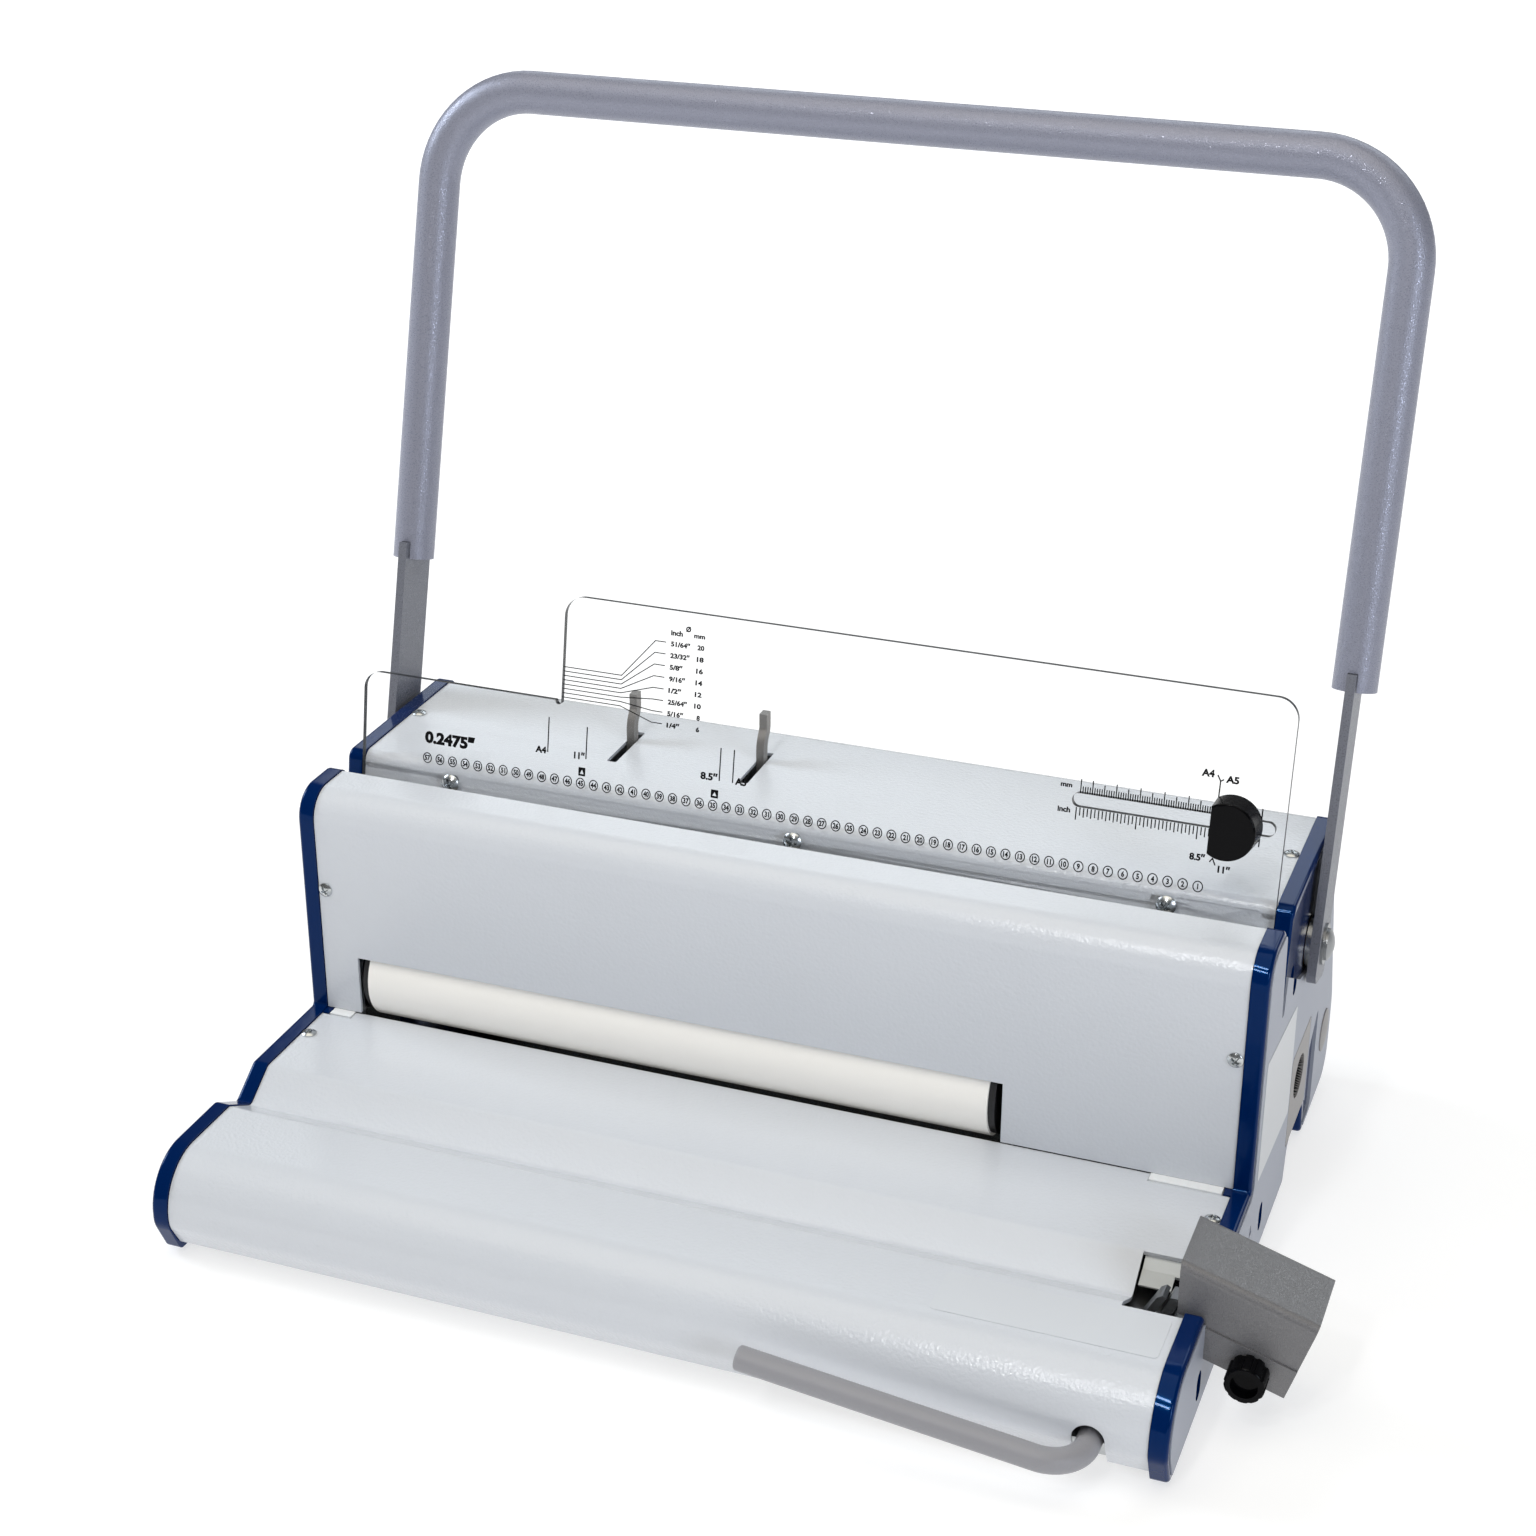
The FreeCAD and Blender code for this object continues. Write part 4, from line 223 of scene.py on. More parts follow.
# Materials by the record's slots
looks = {
    "cover_paint": surface(
        "cover paint", srgb(212, 215, 220), GRAIN, scale=650.0, bump=0.0002, tone=0.012,
        rough=(0.17, 0.23), Specular_IOR_Level=0.5),
    "navy_paint": surface(
        "navy paint", srgb(0, 30, 80), GRAIN, scale=160.0, bump=0.00004, tone=0.06,
        rough=(0.1, 0.16), Specular_IOR_Level=0.2, Specular_Tint=(0.03, 0.35, 1.0, 1.0),
        Coat_Weight=0.1, Coat_Roughness=0.05),
    "side_grey": surface(
        "side grey", srgb(160, 164, 175), GRAIN, scale=900.0, bump=0.00008, tone=0.02,
        rough=(0.45, 0.55)),
    "handle_paint": surface(
        "handle paint", srgb(143, 145, 160), HAMMER, scale=2000.0, bump=0.0001, tone=0.05,
        rough=(0.42, 0.12), specks=0.15, Metallic=0.3),
    "hammer_grey": surface(
        "hammered grey", srgb(110, 109, 111), HAMMER, scale=2600.0, bump=0.00006, tone=0.06,
        rough=(0.42, 0.15), specks=0.15, Metallic=0.1, Specular_IOR_Level=0.9),
    "zinc": surface(
        "zinc", srgb(196, 199, 200), BRUSH, scale=500.0, bump=0.00004, tone=0.06, rough=(0.2, 0.3),
        Metallic=1.0),
    "steel": surface(
        "ground steel", srgb(150, 152, 154), BRUSH, scale=700.0, bump=0.00005, tone=0.08,
        rough=(0.28, 0.42), Metallic=1.0),
    "polished_steel": surface(
        "polished steel", srgb(170, 174, 176), BRUSH, scale=260.0, bump=0.0001, tone=0.1,
        rough=(0.3, 0.42), Metallic=0.4),
    "lever_steel": surface(
        "lever steel", srgb(140, 137, 134), BRUSH, scale=600.0, bump=0.00005, tone=0.12,
        rough=(0.35, 0.55), Metallic=0.7),
    "rail_metal": surface(
        "rail metal", srgb(228, 229, 231), BRUSH, scale=500.0, bump=0.00004, tone=0.03,
        rough=(0.3, 0.4), Metallic=0.9),
    "bronze": surface(
        "bronze", srgb(188, 150, 90), BRUSH, scale=500.0, bump=0.00005, tone=0.08,
        rough=(0.3, 0.45), Metallic=1.0),
    "black_plastic": surface(
        "black plastic", srgb(5, 5, 7), GRAIN, scale=1200.0, bump=0.00005, tone=0.15,
        rough=(0.3, 0.42), Specular_IOR_Level=0.1),
    "grey_plastic": surface(
        "grey plastic", srgb(146, 142, 140), GRAIN, scale=1000.0, bump=0.00008, tone=0.03,
        rough=(0.42, 0.52)),
    # The roller rubber glows faintly in its own colour: painted light that lifts the roller where
    # it lies in shade in its window
    "roller_rubber": surface(
        "roller rubber", srgb(246, 243, 237), GRAIN, scale=500.0, bump=0.00005, tone=0.012,
        rough=(0.5, 0.62), Specular_IOR_Level=0.3, Emission_Color=srgb(246, 243, 237),
        Emission_Strength=0.08),
    "black_rubber": surface(
        "black rubber", srgb(14, 14, 14), GRAIN, scale=900.0, bump=0.0001, tone=0.1,
        rough=(0.7, 0.85), Specular_IOR_Level=0.3),
    "board": surface(
        "board", srgb(30, 92, 52), GRAIN, scale=800.0, bump=0.00008, tone=0.08, rough=(0.35, 0.5)),
    "clear": surface(
        "clear acrylic", srgb(250, 251, 252), GRAIN, scale=60.0, bump=0.0, tone=0.0,
        rough=(0.02, 0.05), Transmission_Weight=1.0, IOR=1.01, Alpha=0.05, Coat_Weight=1.0),
}
ink = surface(
    "print ink", srgb(10, 10, 13), GRAIN, scale=1500.0, bump=0.00001, tone=0.1, rough=(0.5, 0.6),
    Specular_IOR_Level=0.1)
lever_paint = surface(
    "lever paint", srgb(150, 149, 153), GRAIN, scale=700.0, bump=0.0001, tone=0.02,
    rough=(0.4, 0.5))
label_skin = surface(
    "blank label", srgb(213, 216, 220), GRAIN, scale=900.0, bump=0.00002, tone=0.006,
    rough=(0.2, 0.26))
# The handle's arms: the handle tube's hammered paint made darker, as painted shade
shaded_handle_paint = surface(
    "handle paint with painted shade", srgb(118, 120, 129), HAMMER, scale=2200.0, bump=0.0001, tone=0.05,
    rough=(0.45, 0.2), specks=0.15, Metallic=0.3)
knob_plastic = surface(
    "knob plastic", srgb(6, 6, 8), GRAIN, scale=1200.0, bump=0.00003, tone=0.15,
    rough=(0.16, 0.24), Specular_IOR_Level=0.03, Coat_Weight=0.12, Coat_Roughness=0.08)
bright_strip = surface(
    "bright strip", srgb(244, 245, 245), BRUSH, scale=500.0, bump=0.00003, tone=0.03,
    rough=(0.25, 0.35))
# Dark plastic: the roller shaft's own colour, and painted shade inside the chip drawer
dark_plastic_and_shade = surface(
    "dark plastic and painted shade", srgb(30, 30, 32), GRAIN, scale=1000.0, bump=0.00008, tone=0.05,
    rough=(0.45, 0.6))
side_skin = surface(
    "blank side label", srgb(198, 200, 202), GRAIN, scale=900.0, bump=0.00002, tone=0.006,
    rough=(0.3, 0.4))
# The clear plate's edges painted dark: painted shade in place of the dark line a clear edge shows
# by reflecting light inside it
painted_dark_edge = surface(
    "acrylic edge painted dark", srgb(30, 32, 36), GRAIN, scale=900.0, bump=0.00002, tone=0.2, rough=(0.2, 0.4))

for part in frame["record"]["subparts"]:
    name = part["node"]
    nodes[name].data.materials.clear()
    nodes[name].data.materials.append(looks[part["material_slot"]])
    smooth_up(name)

# Nodes whose look differs from that of their slot
for name, material in (("crimper_lever", lever_paint), ("handle_arms", shaded_handle_paint),
                       ("crimper_knob", knob_plastic), ("side_guide_knob", knob_plastic),
                       ("roller_shaft", dark_plastic_and_shade), ("deck_rail", bright_strip),
                       ("pivot_screws", looks["steel"])):
    nodes[name].data.materials[0] = material


def second_look(name, material, chosen):
    """Gives a node a second material on the faces that a test on centre and normal picks."""
    mesh = nodes[name].data
    mesh.materials.append(material)
    for face in mesh.polygons:
        face.material_index = int(chosen(face.center, face.normal))


# Seats of the right side screws' heads
SIDE_SEATS = [(SEAT_X, 14.0, 115.0), (SEAT_X, -23.5, 22.0), (SEAT_X, -138.5, 18.0)]
# A plate's edge faces have less than this share of their normal across the plate
EDGE_SHARE = 0.5
# In metres: how far a screw hole's wall reaches from its screw, the height from which the clear
# plate's edges are painted dark, and how deep the drawer's front skin goes, behind which the drawer
# is painted dark as shade
HOLE_REACH = 0.008
DARK_EDGES_FROM = 0.154
DRAWER_SKIN = 0.001


def on_dark_edge(centre, normal):
    """An edge face of the clear plate that stands above the covers."""
    across = normal.y * LEAN_COS - normal.z * LEAN_SIN
    return abs(across) < EDGE_SHARE and centre.z > DARK_EDGES_FROM


def in_screw_hole(centre, normal):
    """An edge face of a side plate close to a side screw."""
    near = min(math.hypot(centre.y - y, centre.z - z) for _, y, z in metres(SIDE_SEATS))
    return abs(normal.x) < EDGE_SHARE and near < HOLE_REACH


# Only the clear plate's edges above the covers get the painted dark edge; lower down they stay
# clear and cast no shadow
second_look("clear_plate", painted_dark_edge, on_dark_edge)
for name in ("side_plate_left", "side_plate_right"):
    second_look(name, looks["navy_paint"], in_screw_hole)
# Behind its front skin the chip drawer is painted dark: painted shade for the hollow seen through
# the finger hole
drawer_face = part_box("chip_drawer")[1].x - DRAWER_SKIN
second_look("chip_drawer", dark_plastic_and_shade, lambda centre, normal: centre.x < drawer_face)


# Mesh helpers


def piece(name, body, slot, material, points, faces, smooth=False):
    """A mesh from build points in millimetres, riding on a body; its faces are flat, or smooth
    between sharp edges."""
    mesh = bpy.data.meshes.new(name)
    mesh.from_pydata(metres(points).tolist(), [], [tuple(int(i) for i in f) for f in faces])
    mesh.materials.append(material)
    mesh.validate()
    if smooth:
        mesh.polygons.foreach_set("use_smooth", np.ones(len(mesh.polygons), bool))
        mesh.set_sharp_from_angle(angle=SHARP)
    made = bpy.data.objects.new(name, mesh)
    scene.collection.objects.link(made)
    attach(made, body)
    return made


def lattice(rows, columns):
    """Quads over a grid of rows by columns that closes round the columns."""
    row, column = np.meshgrid(np.arange(rows - 1), np.arange(columns), indexing="ij")
    at, beside = row * columns + column, row * columns + (column + 1) % columns
    return np.stack([at, beside, beside + columns, at + columns], axis=-1).reshape(-1, 4)


def merged(parts):
    """One list of points and one of faces from many, each face moved past the points before."""
    points, faces, base = [], [], 0
    for own_points, own_faces in parts:
        points.append(np.asarray(own_points, float))
        faces.extend([[int(corner) + base for corner in face] for face in own_faces])
        base += len(own_points)
    return np.concatenate(points), faces


# Screws with a cross recess


def cross_head(head, dome, rings=26, turns=64):
    """Domed screw head: its height over the seat is a ball's over a straight rim, less the cross
    recess. The recess is full inside two crossed bars and fades to none over a thin border. A
    point in the middle, a skirt and a point on the seat close it."""
    rim = 0.35 * dome
    cap = dome - rim
    ball = (head * head + cap * cap) / (2 * cap)
    bar_half, side_border = 0.15 * head, 0.06 * head
    bar_reach, end_border = 0.58 * head, 0.14 * head
    recess, middle_high = 0.75 * dome, 0.2 * dome
    radius = head * np.linspace(0, 1, rings)[1:]
    angle = np.linspace(0, 2 * math.pi, turns, endpoint=False)
    x = radius[:, None] * np.cos(angle)
    y = radius[:, None] * np.sin(angle)
    near, far = np.minimum(abs(x), abs(y)), np.maximum(abs(x), abs(y))
    inside = np.clip((bar_half - near) / side_border, 0, 1)
    inside = inside * np.clip((bar_reach - far) / end_border, 0, 1)
    z = dome - ball + np.sqrt(ball * ball - radius ** 2)[:, None] - recess * inside
    middle = [0.0, 0.0, middle_high]
    grid = np.stack([x, y, z], axis=-1).reshape(-1, 3)
    skirt = grid[-turns:] * [1, 1, 0]
    points = np.concatenate([[middle], grid, skirt, [[0, 0, 0]]])
    faces = [[0, 1 + i, 1 + (i + 1) % turns] for i in range(turns)]
    faces += [list(f + 1) for f in lattice(rings, turns)]
    last = len(points) - 1
    start = 1 + (rings - 1) * turns
    faces += [[last, start + (i + 1) % turns, start + i] for i in range(turns)]
    return points, faces


def stood(shape, point, axis, turn):
    """The shape turned about its own axis, its Z laid along the axis and moved to the point."""
    points, faces = shape
    way = Vector((0, 0, 1)).rotation_difference(Vector(axis)).to_matrix()
    both = np.array(way @ Matrix.Rotation(turn, 3, "Z"))
    return points @ both.T + np.asarray(point, float), faces


# Turn in radians of a set's first screw, and from screw to screw
FIRST_TURN, TURN_STEP = 0.4, 1.1


def screw_set(name, slot, head, dome, seats):
    """All screws of one kind in one piece, each turned a little differently."""
    shape = cross_head(head, dome)
    shapes = [stood(shape, point, axis, FIRST_TURN + TURN_STEP * i)
              for i, (point, axis) in enumerate(seats)]
    return piece(name, "machine", slot, looks[slot], *merged(shapes), smooth=True)


def both_sides(seats):
    """Each seat and its mirror image across the middle."""
    return [((side * place[0], *place[1:]), (side * axis[0], *axis[1:]))
            for place, axis in seats for side in (1, -1)]


# Print on the clear plate


# How far the letters' outlines grow, in letter sizes, in bold and in plain text
BOLD_OFFSET, PLAIN_OFFSET = 0.055, 0.045


def glyphs(texts):
    """Flat outlines of many texts at once: {text: (points, faces)}, scaled so that a capital is 1
    high. Texts that start with * are bold."""
    holders = {}
    for text in texts:
        curve = bpy.data.curves.new("lettering", "FONT")
        curve.body = text.lstrip("*")
        curve.resolution_u = 3
        curve.offset = BOLD_OFFSET if text.startswith("*") else PLAIN_OFFSET
        holders[text] = bpy.data.objects.new("lettering", curve)
        scene.collection.objects.link(holders[text])
    bpy.context.view_layer.update()
    graph = bpy.context.evaluated_depsgraph_get()
    made = {}
    for text, holder in holders.items():
        mesh = bpy.data.meshes.new_from_object(holder.evaluated_get(graph))
        points = np.empty(len(mesh.vertices) * 3)
        mesh.vertices.foreach_get("co", points)
        made[text] = points.reshape(-1, 3)[:, :2], [list(f.vertices) for f in mesh.polygons]
        bpy.data.meshes.remove(mesh)
        bpy.data.curves.remove(holder.data)
    tall = made["H"][0][:, 1].max()
    return {text: (points / tall, faces) for text, (points, faces) in made.items()}


def band(path, wide):
    """Flat strip of one width along a path in the plane, as quads: each point moves to both sides
    by half the width over the cosine of half the bend there, square to the mean of its steps."""
    path = np.asarray(path, float)
    step = np.diff(path, axis=0)
    step /= np.linalg.norm(step, axis=1)[:, None]
    across = np.concatenate([step[:1], step]) + np.concatenate([step, step[-1:]])
    across /= (np.linalg.norm(across, axis=1) ** 2)[:, None] / 2
    side = np.stack([-across[:, 1], across[:, 0]], axis=1) * wide / 2
    count = len(path)
    faces = [[i, i + 1, count + i + 1, count + i] for i in range(count - 1)]
    return np.concatenate([path - side, path + side]), faces


def oval(x, v, half_wide, half_high, wide, turns=32):
    """Flat ring round a point: an inner and an outer oval, each by the cosine and the sine of its
    angle times its half width and half height, the inner one smaller by the line's width."""
    angle = np.linspace(0, 2 * math.pi, turns, endpoint=False)
    rows = [np.stack([x + (half_wide - inset) * np.cos(angle),
                      v + (half_high - inset) * np.sin(angle)], axis=1) for inset in (wide, 0)]
    return np.concatenate(rows), [list(face)[::-1] for face in lattice(2, turns)]


# All places on the plate are in millimetres: x to the right from its middle, v up from the rings

# Rows of the size table, the first row's baseline, the step down to the next, the left edges of
# its inches and of millimetres with two and one digits, the letters' height and their widths
SIZES = (("51/64″", "20"), ("23/32″", "18"), ("5/8″", "16"), ("9/16″", "14"),
         ("1/2″", "12"), ("25/64″", "10"), ("5/16″", "8"), ("1/4″", "6"))
TABLE_TOP, TABLE_STEP = 67.8, 5.17
TABLE_INCH_X, TABLE_MM_X, TABLE_SHORT_X = -61.3, -49.0, -47.6
TABLE_HIGH, TABLE_INCH_WIDE, TABLE_MM_WIDE = 2.1, 1.5, 1.6
# Other words: text, x of its left edge, baseline, capital height, width
WORDS = [
    ("*0.2475″", -177.5, 7.3, 5.1, 24.9), ("A4", -123.0, 11.1, 2.9, 5.3),
    ("11″", -104.3, 11.0, 3.0, 5.2), ("8.5″", -44.2, 11.2, 3.1, 8.0),
    ("A5", -28.1, 11.1, 3.0, 5.3), ("inch", -61.5, 72.7, 2.3, 5.5), ("mm", -50.8, 72.9, 2.0, 5.1),
    ("Ø", -54.7, 75.1, 2.3, 2.4), ("A4", 172.6, 46.9, 3.0, 5.3), ("A5", 182.7, 45.5, 2.9, 5.4),
    ("8.5″", 171.2, 11.1, 2.8, 6.5), ("11″", 183.3, 7.4, 2.8, 5.1),
    ("mm", 115.0, 33.4, 2.0, 4.9), ("inch", 114.6, 22.6, 2.3, 5.4),
]
# A ring's half width, half height and line width, and its number's scale
RING = (2.2, 2.5, 0.46)
NUMBER_SCALE = [1.85, 2.35]
# Heights of the print that ends at the side guide's slot
SLOT_LOW, SLOT_TOP = 25.3, 31.5
# Paths of single lines, as x and v, their width, and one short thick line
LINES = [
    [(-117.0, 11.8), (-117.0, 27.8)], [(-98.5, 11.4), (-98.5, 26.0)],
    [(-35.4, 11.4), (-35.4, 26.2)], [(-29.2, 11.5), (-29.2, 26.3)],
    [(198.8, 20.8), (198.8, SLOT_LOW)], [(198.8, SLOT_TOP), (198.8, 36.9)],
    [(179.2, 48.1), (180.6, 45.6), (180.5, 38.9)], [(181.9, 46.5), (180.6, 45.6)],
    [(179.6, 11.2), (180.8, 12.9), (182.1, 10.1)],
]
LINE_WIDE = 0.55
DASH, DASH_WIDE = [(180.3, 37.5), (183.3, 37.5)], 0.6
# Leader lines to the table: x of their points, their width, and for the left and the right ends
# the first line's height and the step down to the next
LEADER_X = (-111.0, -83.5, -68.5, -63.5)
LEADER_WIDE = 0.42
LEADER_LEFT, LEADER_LEFT_STEP = 51.6, 1.96
LEADER_RIGHT, LEADER_RIGHT_STEP = 69.2, 5.2
# Upper ruler: x of its first tick, the count, the width, which ticks are long, and the height of
# the top of a long, a middle and a short tick
MM_START, MM_TICKS, MM_WIDE = 123.6, 55, 0.48
MM_LONG = (0, 5, 15, 25, 35, 45)
MM_TOPS = (37.5, 36.2, 34.5)
# Lower ruler: x of its first tick, the count, the width, the step, and the height of the lower
# end of an inch's tick, an eighth's and a sixteenth's
INCH_START, INCH_TICKS, INCH_WIDE = 122.5, 36, 0.5
SIXTEENTH = 25.4 / 16
INCH_ENDS = (19.8, 21.2, 21.8)
# Boxed page marks: left, right, lower and upper edge of each, and the bare triangle's distance
# from the sides, the lower edge and the upper edge
MARKS = ((-101.8, -98.5, 3.4, 7.3), (-38.9, -35.5, 3.4, 7.1))
MARK_SIDE, MARK_LOW, MARK_TOP = 0.7, 0.9, 1.0
# How far the print's face stands in front of the plate, in millimetres, and its thickness, in
# metres
PRINT_FRONT = 0.05
PRINT_THICK = 0.00004


def table_words():
    """The size table's words, placed like the others."""
    words = []
    for row, (inch, mm) in enumerate(SIZES):
        base = TABLE_TOP - TABLE_STEP * row
        mm_x = TABLE_MM_X if len(mm) > 1 else TABLE_SHORT_X
        words.append((inch, TABLE_INCH_X, base, TABLE_HIGH, TABLE_INCH_WIDE * len(inch)))
        words.append((mm, mm_x, base, TABLE_HIGH, TABLE_MM_WIDE * len(mm)))
    return words


def set_word(shape, x, base, high, wide):
    """A word's outline, stretched to its width and height and moved to its place."""
    points, faces = shape
    low, top = points[:, 0].min(), points[:, 0].max()
    return (points - [low, 0]) * [wide / (top - low), high] + [x, base], faces


def ringed_number(shape, hole):
    """The ring of a hole, counted from the right, and the number centred in it."""
    points, faces = shape
    x = ((HOLES + 1) / 2 - hole) * PITCH
    middle = (points.max(0) + points.min(0)) / 2
    return [oval(x, 0, *RING), ((points - middle) * NUMBER_SCALE + [x, 0], faces)]


def thin_lines():
    """All lines with their widths: the single ones, the leaders and the two rulers' ticks."""
    lines = [(path, LINE_WIDE) for path in LINES]
    for i in range(len(SIZES)):
        left = LEADER_LEFT - LEADER_LEFT_STEP * i
        right = LEADER_RIGHT - LEADER_RIGHT_STEP * i
        lines.append((list(zip(LEADER_X, (left, left, right, right))), LEADER_WIDE))
    for i in range(MM_TICKS):
        x = MM_START + i
        top = MM_TOPS[0 if i in MM_LONG else 1 if i % 5 == 0 else 2]
        lines.append(([(x, SLOT_TOP), (x, top)], MM_WIDE))
    for i in range(INCH_TICKS):
        x = INCH_START + SIXTEENTH * i
        end = INCH_ENDS[0 if i % 16 == 0 else 1 if i % 2 == 0 else 2]
        lines.append(([(x, end), (x, SLOT_LOW)], INCH_WIDE))
    lines.append((DASH, DASH_WIDE))
    return lines


def page_mark(left, right, low, top):
    """A filled box round a bare triangle that points up."""
    box = [(left, low), (right, low), (right, top), (left, top)]
    triangle = [(left + MARK_SIDE, low + MARK_LOW), (right - MARK_SIDE, low + MARK_LOW),
                ((left + right) / 2, top - MARK_TOP)]
    return box + triangle, [[0, 1, 5, 4], [1, 2, 6, 5], [2, 3, 6], [3, 0, 4, 6]]


def plate_print():
    """Words, ringed hole numbers, lines and page marks, on one flat mesh that gets a thickness."""
    words = WORDS + table_words()
    numbers = range(1, HOLES + 1)
    shapes = glyphs(sorted({"H", *map(str, numbers), *(word[0] for word in words)}))
    parts = [set_word(shapes[text], *place) for text, *place in words]
    for hole in numbers:
        parts += ringed_number(shapes[str(hole)], hole)
    parts += [band(path, wide) for path, wide in thin_lines()]
    parts += [page_mark(*edges) for edges in MARKS]
    flat, faces = merged(parts)
    made = piece("plate_print", "machine", "black_plastic", ink,
                 lean(flat[:, 0], np.full(len(flat), -PRINT_FRONT), flat[:, 1]), faces)
    thick = made.modifiers.new("thickness", "SOLIDIFY")
    thick.thickness, thick.offset = PRINT_THICK, -1


# Blank labels


def label(name, material, corners, normal, thick=0.12, radius=2.0, steps=6):
    """Thin plate over four corners in order; its top is the lower outline raised along the normal.
    Each corner is rounded over a quarter turn: it lies along the edge before by the radius times
    one less the sine, and along the edge after by the radius times one less the cosine."""
    corners = np.asarray(corners, float)
    before, after = (np.roll(corners, step, axis=0) - corners for step in (1, -1))
    into, on = (edge / np.linalg.norm(edge, axis=1)[:, None] * radius for edge in (before, after))
    turn = np.linspace(0, math.pi / 2, steps)[:, None]
    outline = (corners[:, None] + into[:, None] * (1 - np.sin(turn))
               + on[:, None] * (1 - np.cos(turn))).reshape(-1, 3)
    count = len(outline)
    points = np.concatenate([outline, outline + np.asarray(normal, float) * thick])
    faces = [list(range(count))[::-1], list(range(count, 2 * count))]
    faces += [[i, (i + 1) % count, count + (i + 1) % count, count + i] for i in range(count)]
    piece(name, "machine", "cover_paint", material, points, faces)


# Seats of the right half's cover screws: place and outward axis
COVER_X = 205.4
COVER_SEATS = [((COVER_X, 48.7, 155.2), (0, 0, 1)), ((COVER_X, -47.4, 109.2), (0, -1, 0)),
               ((COVER_X, -71.2, 48.0), (0, 0, 1)), ((COVER_X, REAR_Y, 30.0), (0, 1, 0))]
# The plate's bolts: x of the outer ones and height v
BOLT_X, BOLT_V = 164.0, -10.2
# Corners of the labels, on the front roll's flat top and a small gap off the right side plate
LABEL_GAP = 0.02
ROLL_Z = 46.33
ROLL_LABEL = [(116, -165, ROLL_Z), (205.5, -165, ROLL_Z), (205.5, -139.5, ROLL_Z),
              (116, -139.5, ROLL_Z)]
SIDE_LABEL = [(FACE_X + LABEL_GAP, y, z)
              for y, z in ((-39.4, 48.4), (27.0, 43.2), (27.0, 96.3), (-38.5, 104.2))]

plate_print()
cover = screw_set("cover_screw_heads", "zinc", head=3.3, dome=1.7, seats=both_sides(COVER_SEATS))
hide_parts("cover_screws")
sides = screw_set("side_screw_heads", "zinc", head=2.9, dome=1.2,
                  seats=both_sides([(seat, (1, 0, 0)) for seat in SIDE_SEATS]))
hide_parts("side_screws")
out = (0, -LEAN_COS, LEAN_SIN)
bolts = screw_set("plate_bolt_heads", "zinc", head=4.2, dome=2.4,
                  seats=[(tuple(lean(x, 0.0, BOLT_V)), out) for x in (-BOLT_X, 0.0, BOLT_X)])
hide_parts("dome_bolts")
label("roll_label", label_skin, ROLL_LABEL, (0, 0, 1))
label("side_label", side_skin, SIDE_LABEL, (1, 0, 0))


# Studio


# Half the floor's length in metres
FLOOR = 9.0
# Strength of the white sky as light on the object; to the camera it is 1
SKY_LIGHT = 0.1


def white_floor():
    """Floor that keeps the shadow: it glows a little, and more the further it is from the object,
    so that it stays white out to the picture's edge."""
    floor = bpy.data.objects.new("floor", bpy.data.meshes.new("floor"))
    corners = [(-FLOOR, -FLOOR, 0), (FLOOR, -FLOOR, 0), (FLOOR, FLOOR, 0), (-FLOOR, FLOOR, 0)]
    floor.data.from_pydata(corners, [], [(0, 1, 2, 3)])
    scene.collection.objects.link(floor)
    paint = bpy.data.materials.new("floor")
    paint.use_nodes = True
    tree = paint.node_tree
    shader = tree.nodes["Principled BSDF"]
    shader.inputs["Base Color"].default_value = (0.45, 0.45, 0.45, 1)
    shader.inputs["Roughness"].default_value = 1.0
    shader.inputs["Specular IOR Level"].default_value = 0.0
    shader.inputs["Emission Strength"].default_value = 1.0
    place = put(tree, "ShaderNodeTexCoord").outputs["Object"]
    away = put(tree, "ShaderNodeVectorMath", {0: place}, operation="LENGTH")
    glow = put(tree, "ShaderNodeMapRange", {"Value": away.outputs["Value"], "From Min": 0.3,
                                            "From Max": 2.6, "To Min": 0.65, "To Max": 1.0})
    tree.links.new(glow.outputs["Result"], shader.inputs["Emission Color"])
    floor.data.materials.append(paint)


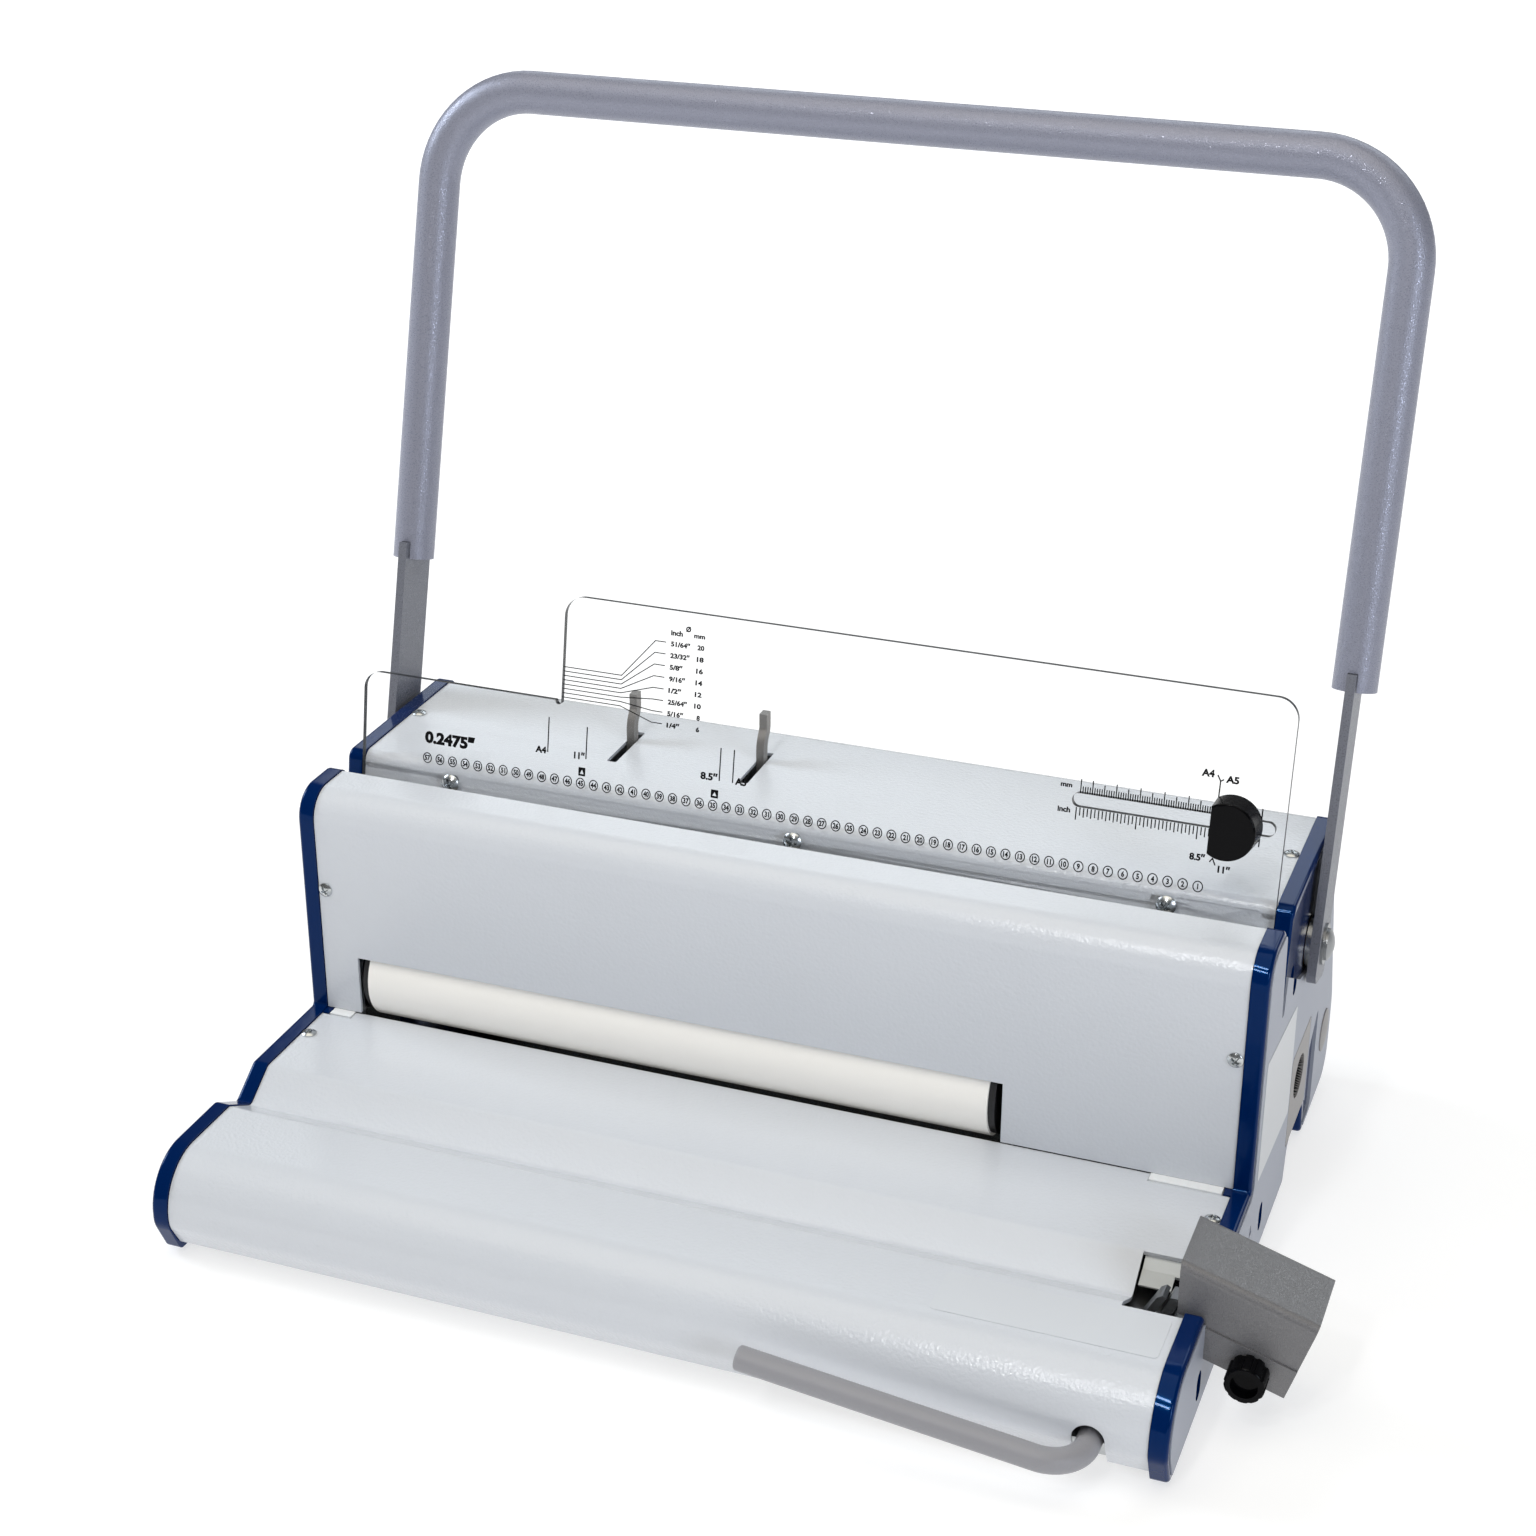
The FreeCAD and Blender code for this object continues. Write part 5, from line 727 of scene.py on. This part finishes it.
def white_sky():
    """Sky that is white to the camera and through glass, and dimmer as light on the object."""
    world = bpy.data.worlds.new("studio")
    world.use_nodes = True
    tree = world.node_tree
    sky = tree.nodes["Background"].inputs
    sky["Color"].default_value = (1, 1, 1, 1)
    ray = put(tree, "ShaderNodeLightPath").outputs
    seen = put(tree, "ShaderNodeMath", {0: ray["Is Camera Ray"], 1: ray["Is Transmission Ray"]},
               operation="MAXIMUM")
    level = put(tree, "ShaderNodeMapRange", {"Value": seen.outputs[0], "To Min": SKY_LIGHT,
                                             "To Max": 1.0})
    tree.links.new(level.outputs["Result"], sky["Strength"])
    scene.world = world


def lamp(name, place, target, wide, high, power, tint=(1, 1, 1)):
    """Soft area lamp aimed at a point; sizes in metres, power in watts."""
    light = bpy.data.lights.new(name, "AREA")
    light.shape, light.size, light.size_y, light.energy = "RECTANGLE", wide, high, power
    light.color = tint
    made = bpy.data.objects.new(name, light)
    made.location = place
    made.rotation_euler = (Vector(target) - Vector(place)).to_track_quat("-Z", "Y").to_euler()
    scene.collection.objects.link(made)


def camera():
    """The photo's view, from its place in metres and its right and back axes; up is square to
    both."""
    data = bpy.data.cameras.new("camera")
    data.lens, data.sensor_width = 64.34, 36.0
    data.clip_start, data.clip_end = 0.05, 50
    made = bpy.data.objects.new("camera", data)
    place = (0.349139, -0.962429, 0.68172)
    right, back = Vector((0.93525, 0.354, 0)), Vector((0.32016, -0.84586, 0.42663))
    turn = Matrix((right, back.cross(right), back)).transposed().to_4x4()
    made.matrix_world = Matrix.Translation(place) @ turn
    scene.collection.objects.link(made)
    scene.camera = made


white_floor()
white_sky()
lamp("overhead", (0.0, -0.35, 2.2), (0, 0, 0.1), wide=2.4, high=2.0, power=22,
     tint=(1.0, 0.93, 0.8))
lamp("back", (0.0, 2.4, 1.9), (0, 0, 0.2), wide=3.6, high=1.6, power=30, tint=(0.88, 0.95, 1.0))
lamp("left", (-2.2, 0.0, 1.5), (0, 0, 0.15), wide=1.0, high=1.0, power=36,
     tint=(0.83, 0.91, 1.0))
lamp("front right", (2.0, -1.4, 1.0), (0, 0, 0.15), wide=0.8, high=0.8, power=18,
     tint=(0.8, 0.88, 1.0))
lamp("spark 1", (-0.13, -1.4, 2.0), (0, 0, 0.15), wide=0.14, high=0.14, power=5)
lamp("spark 2", (-0.1, -1.8, 1.7), (0, 0, 0.15), wide=0.14, high=0.14, power=5)
camera()
scene.view_settings.view_transform = "Standard"
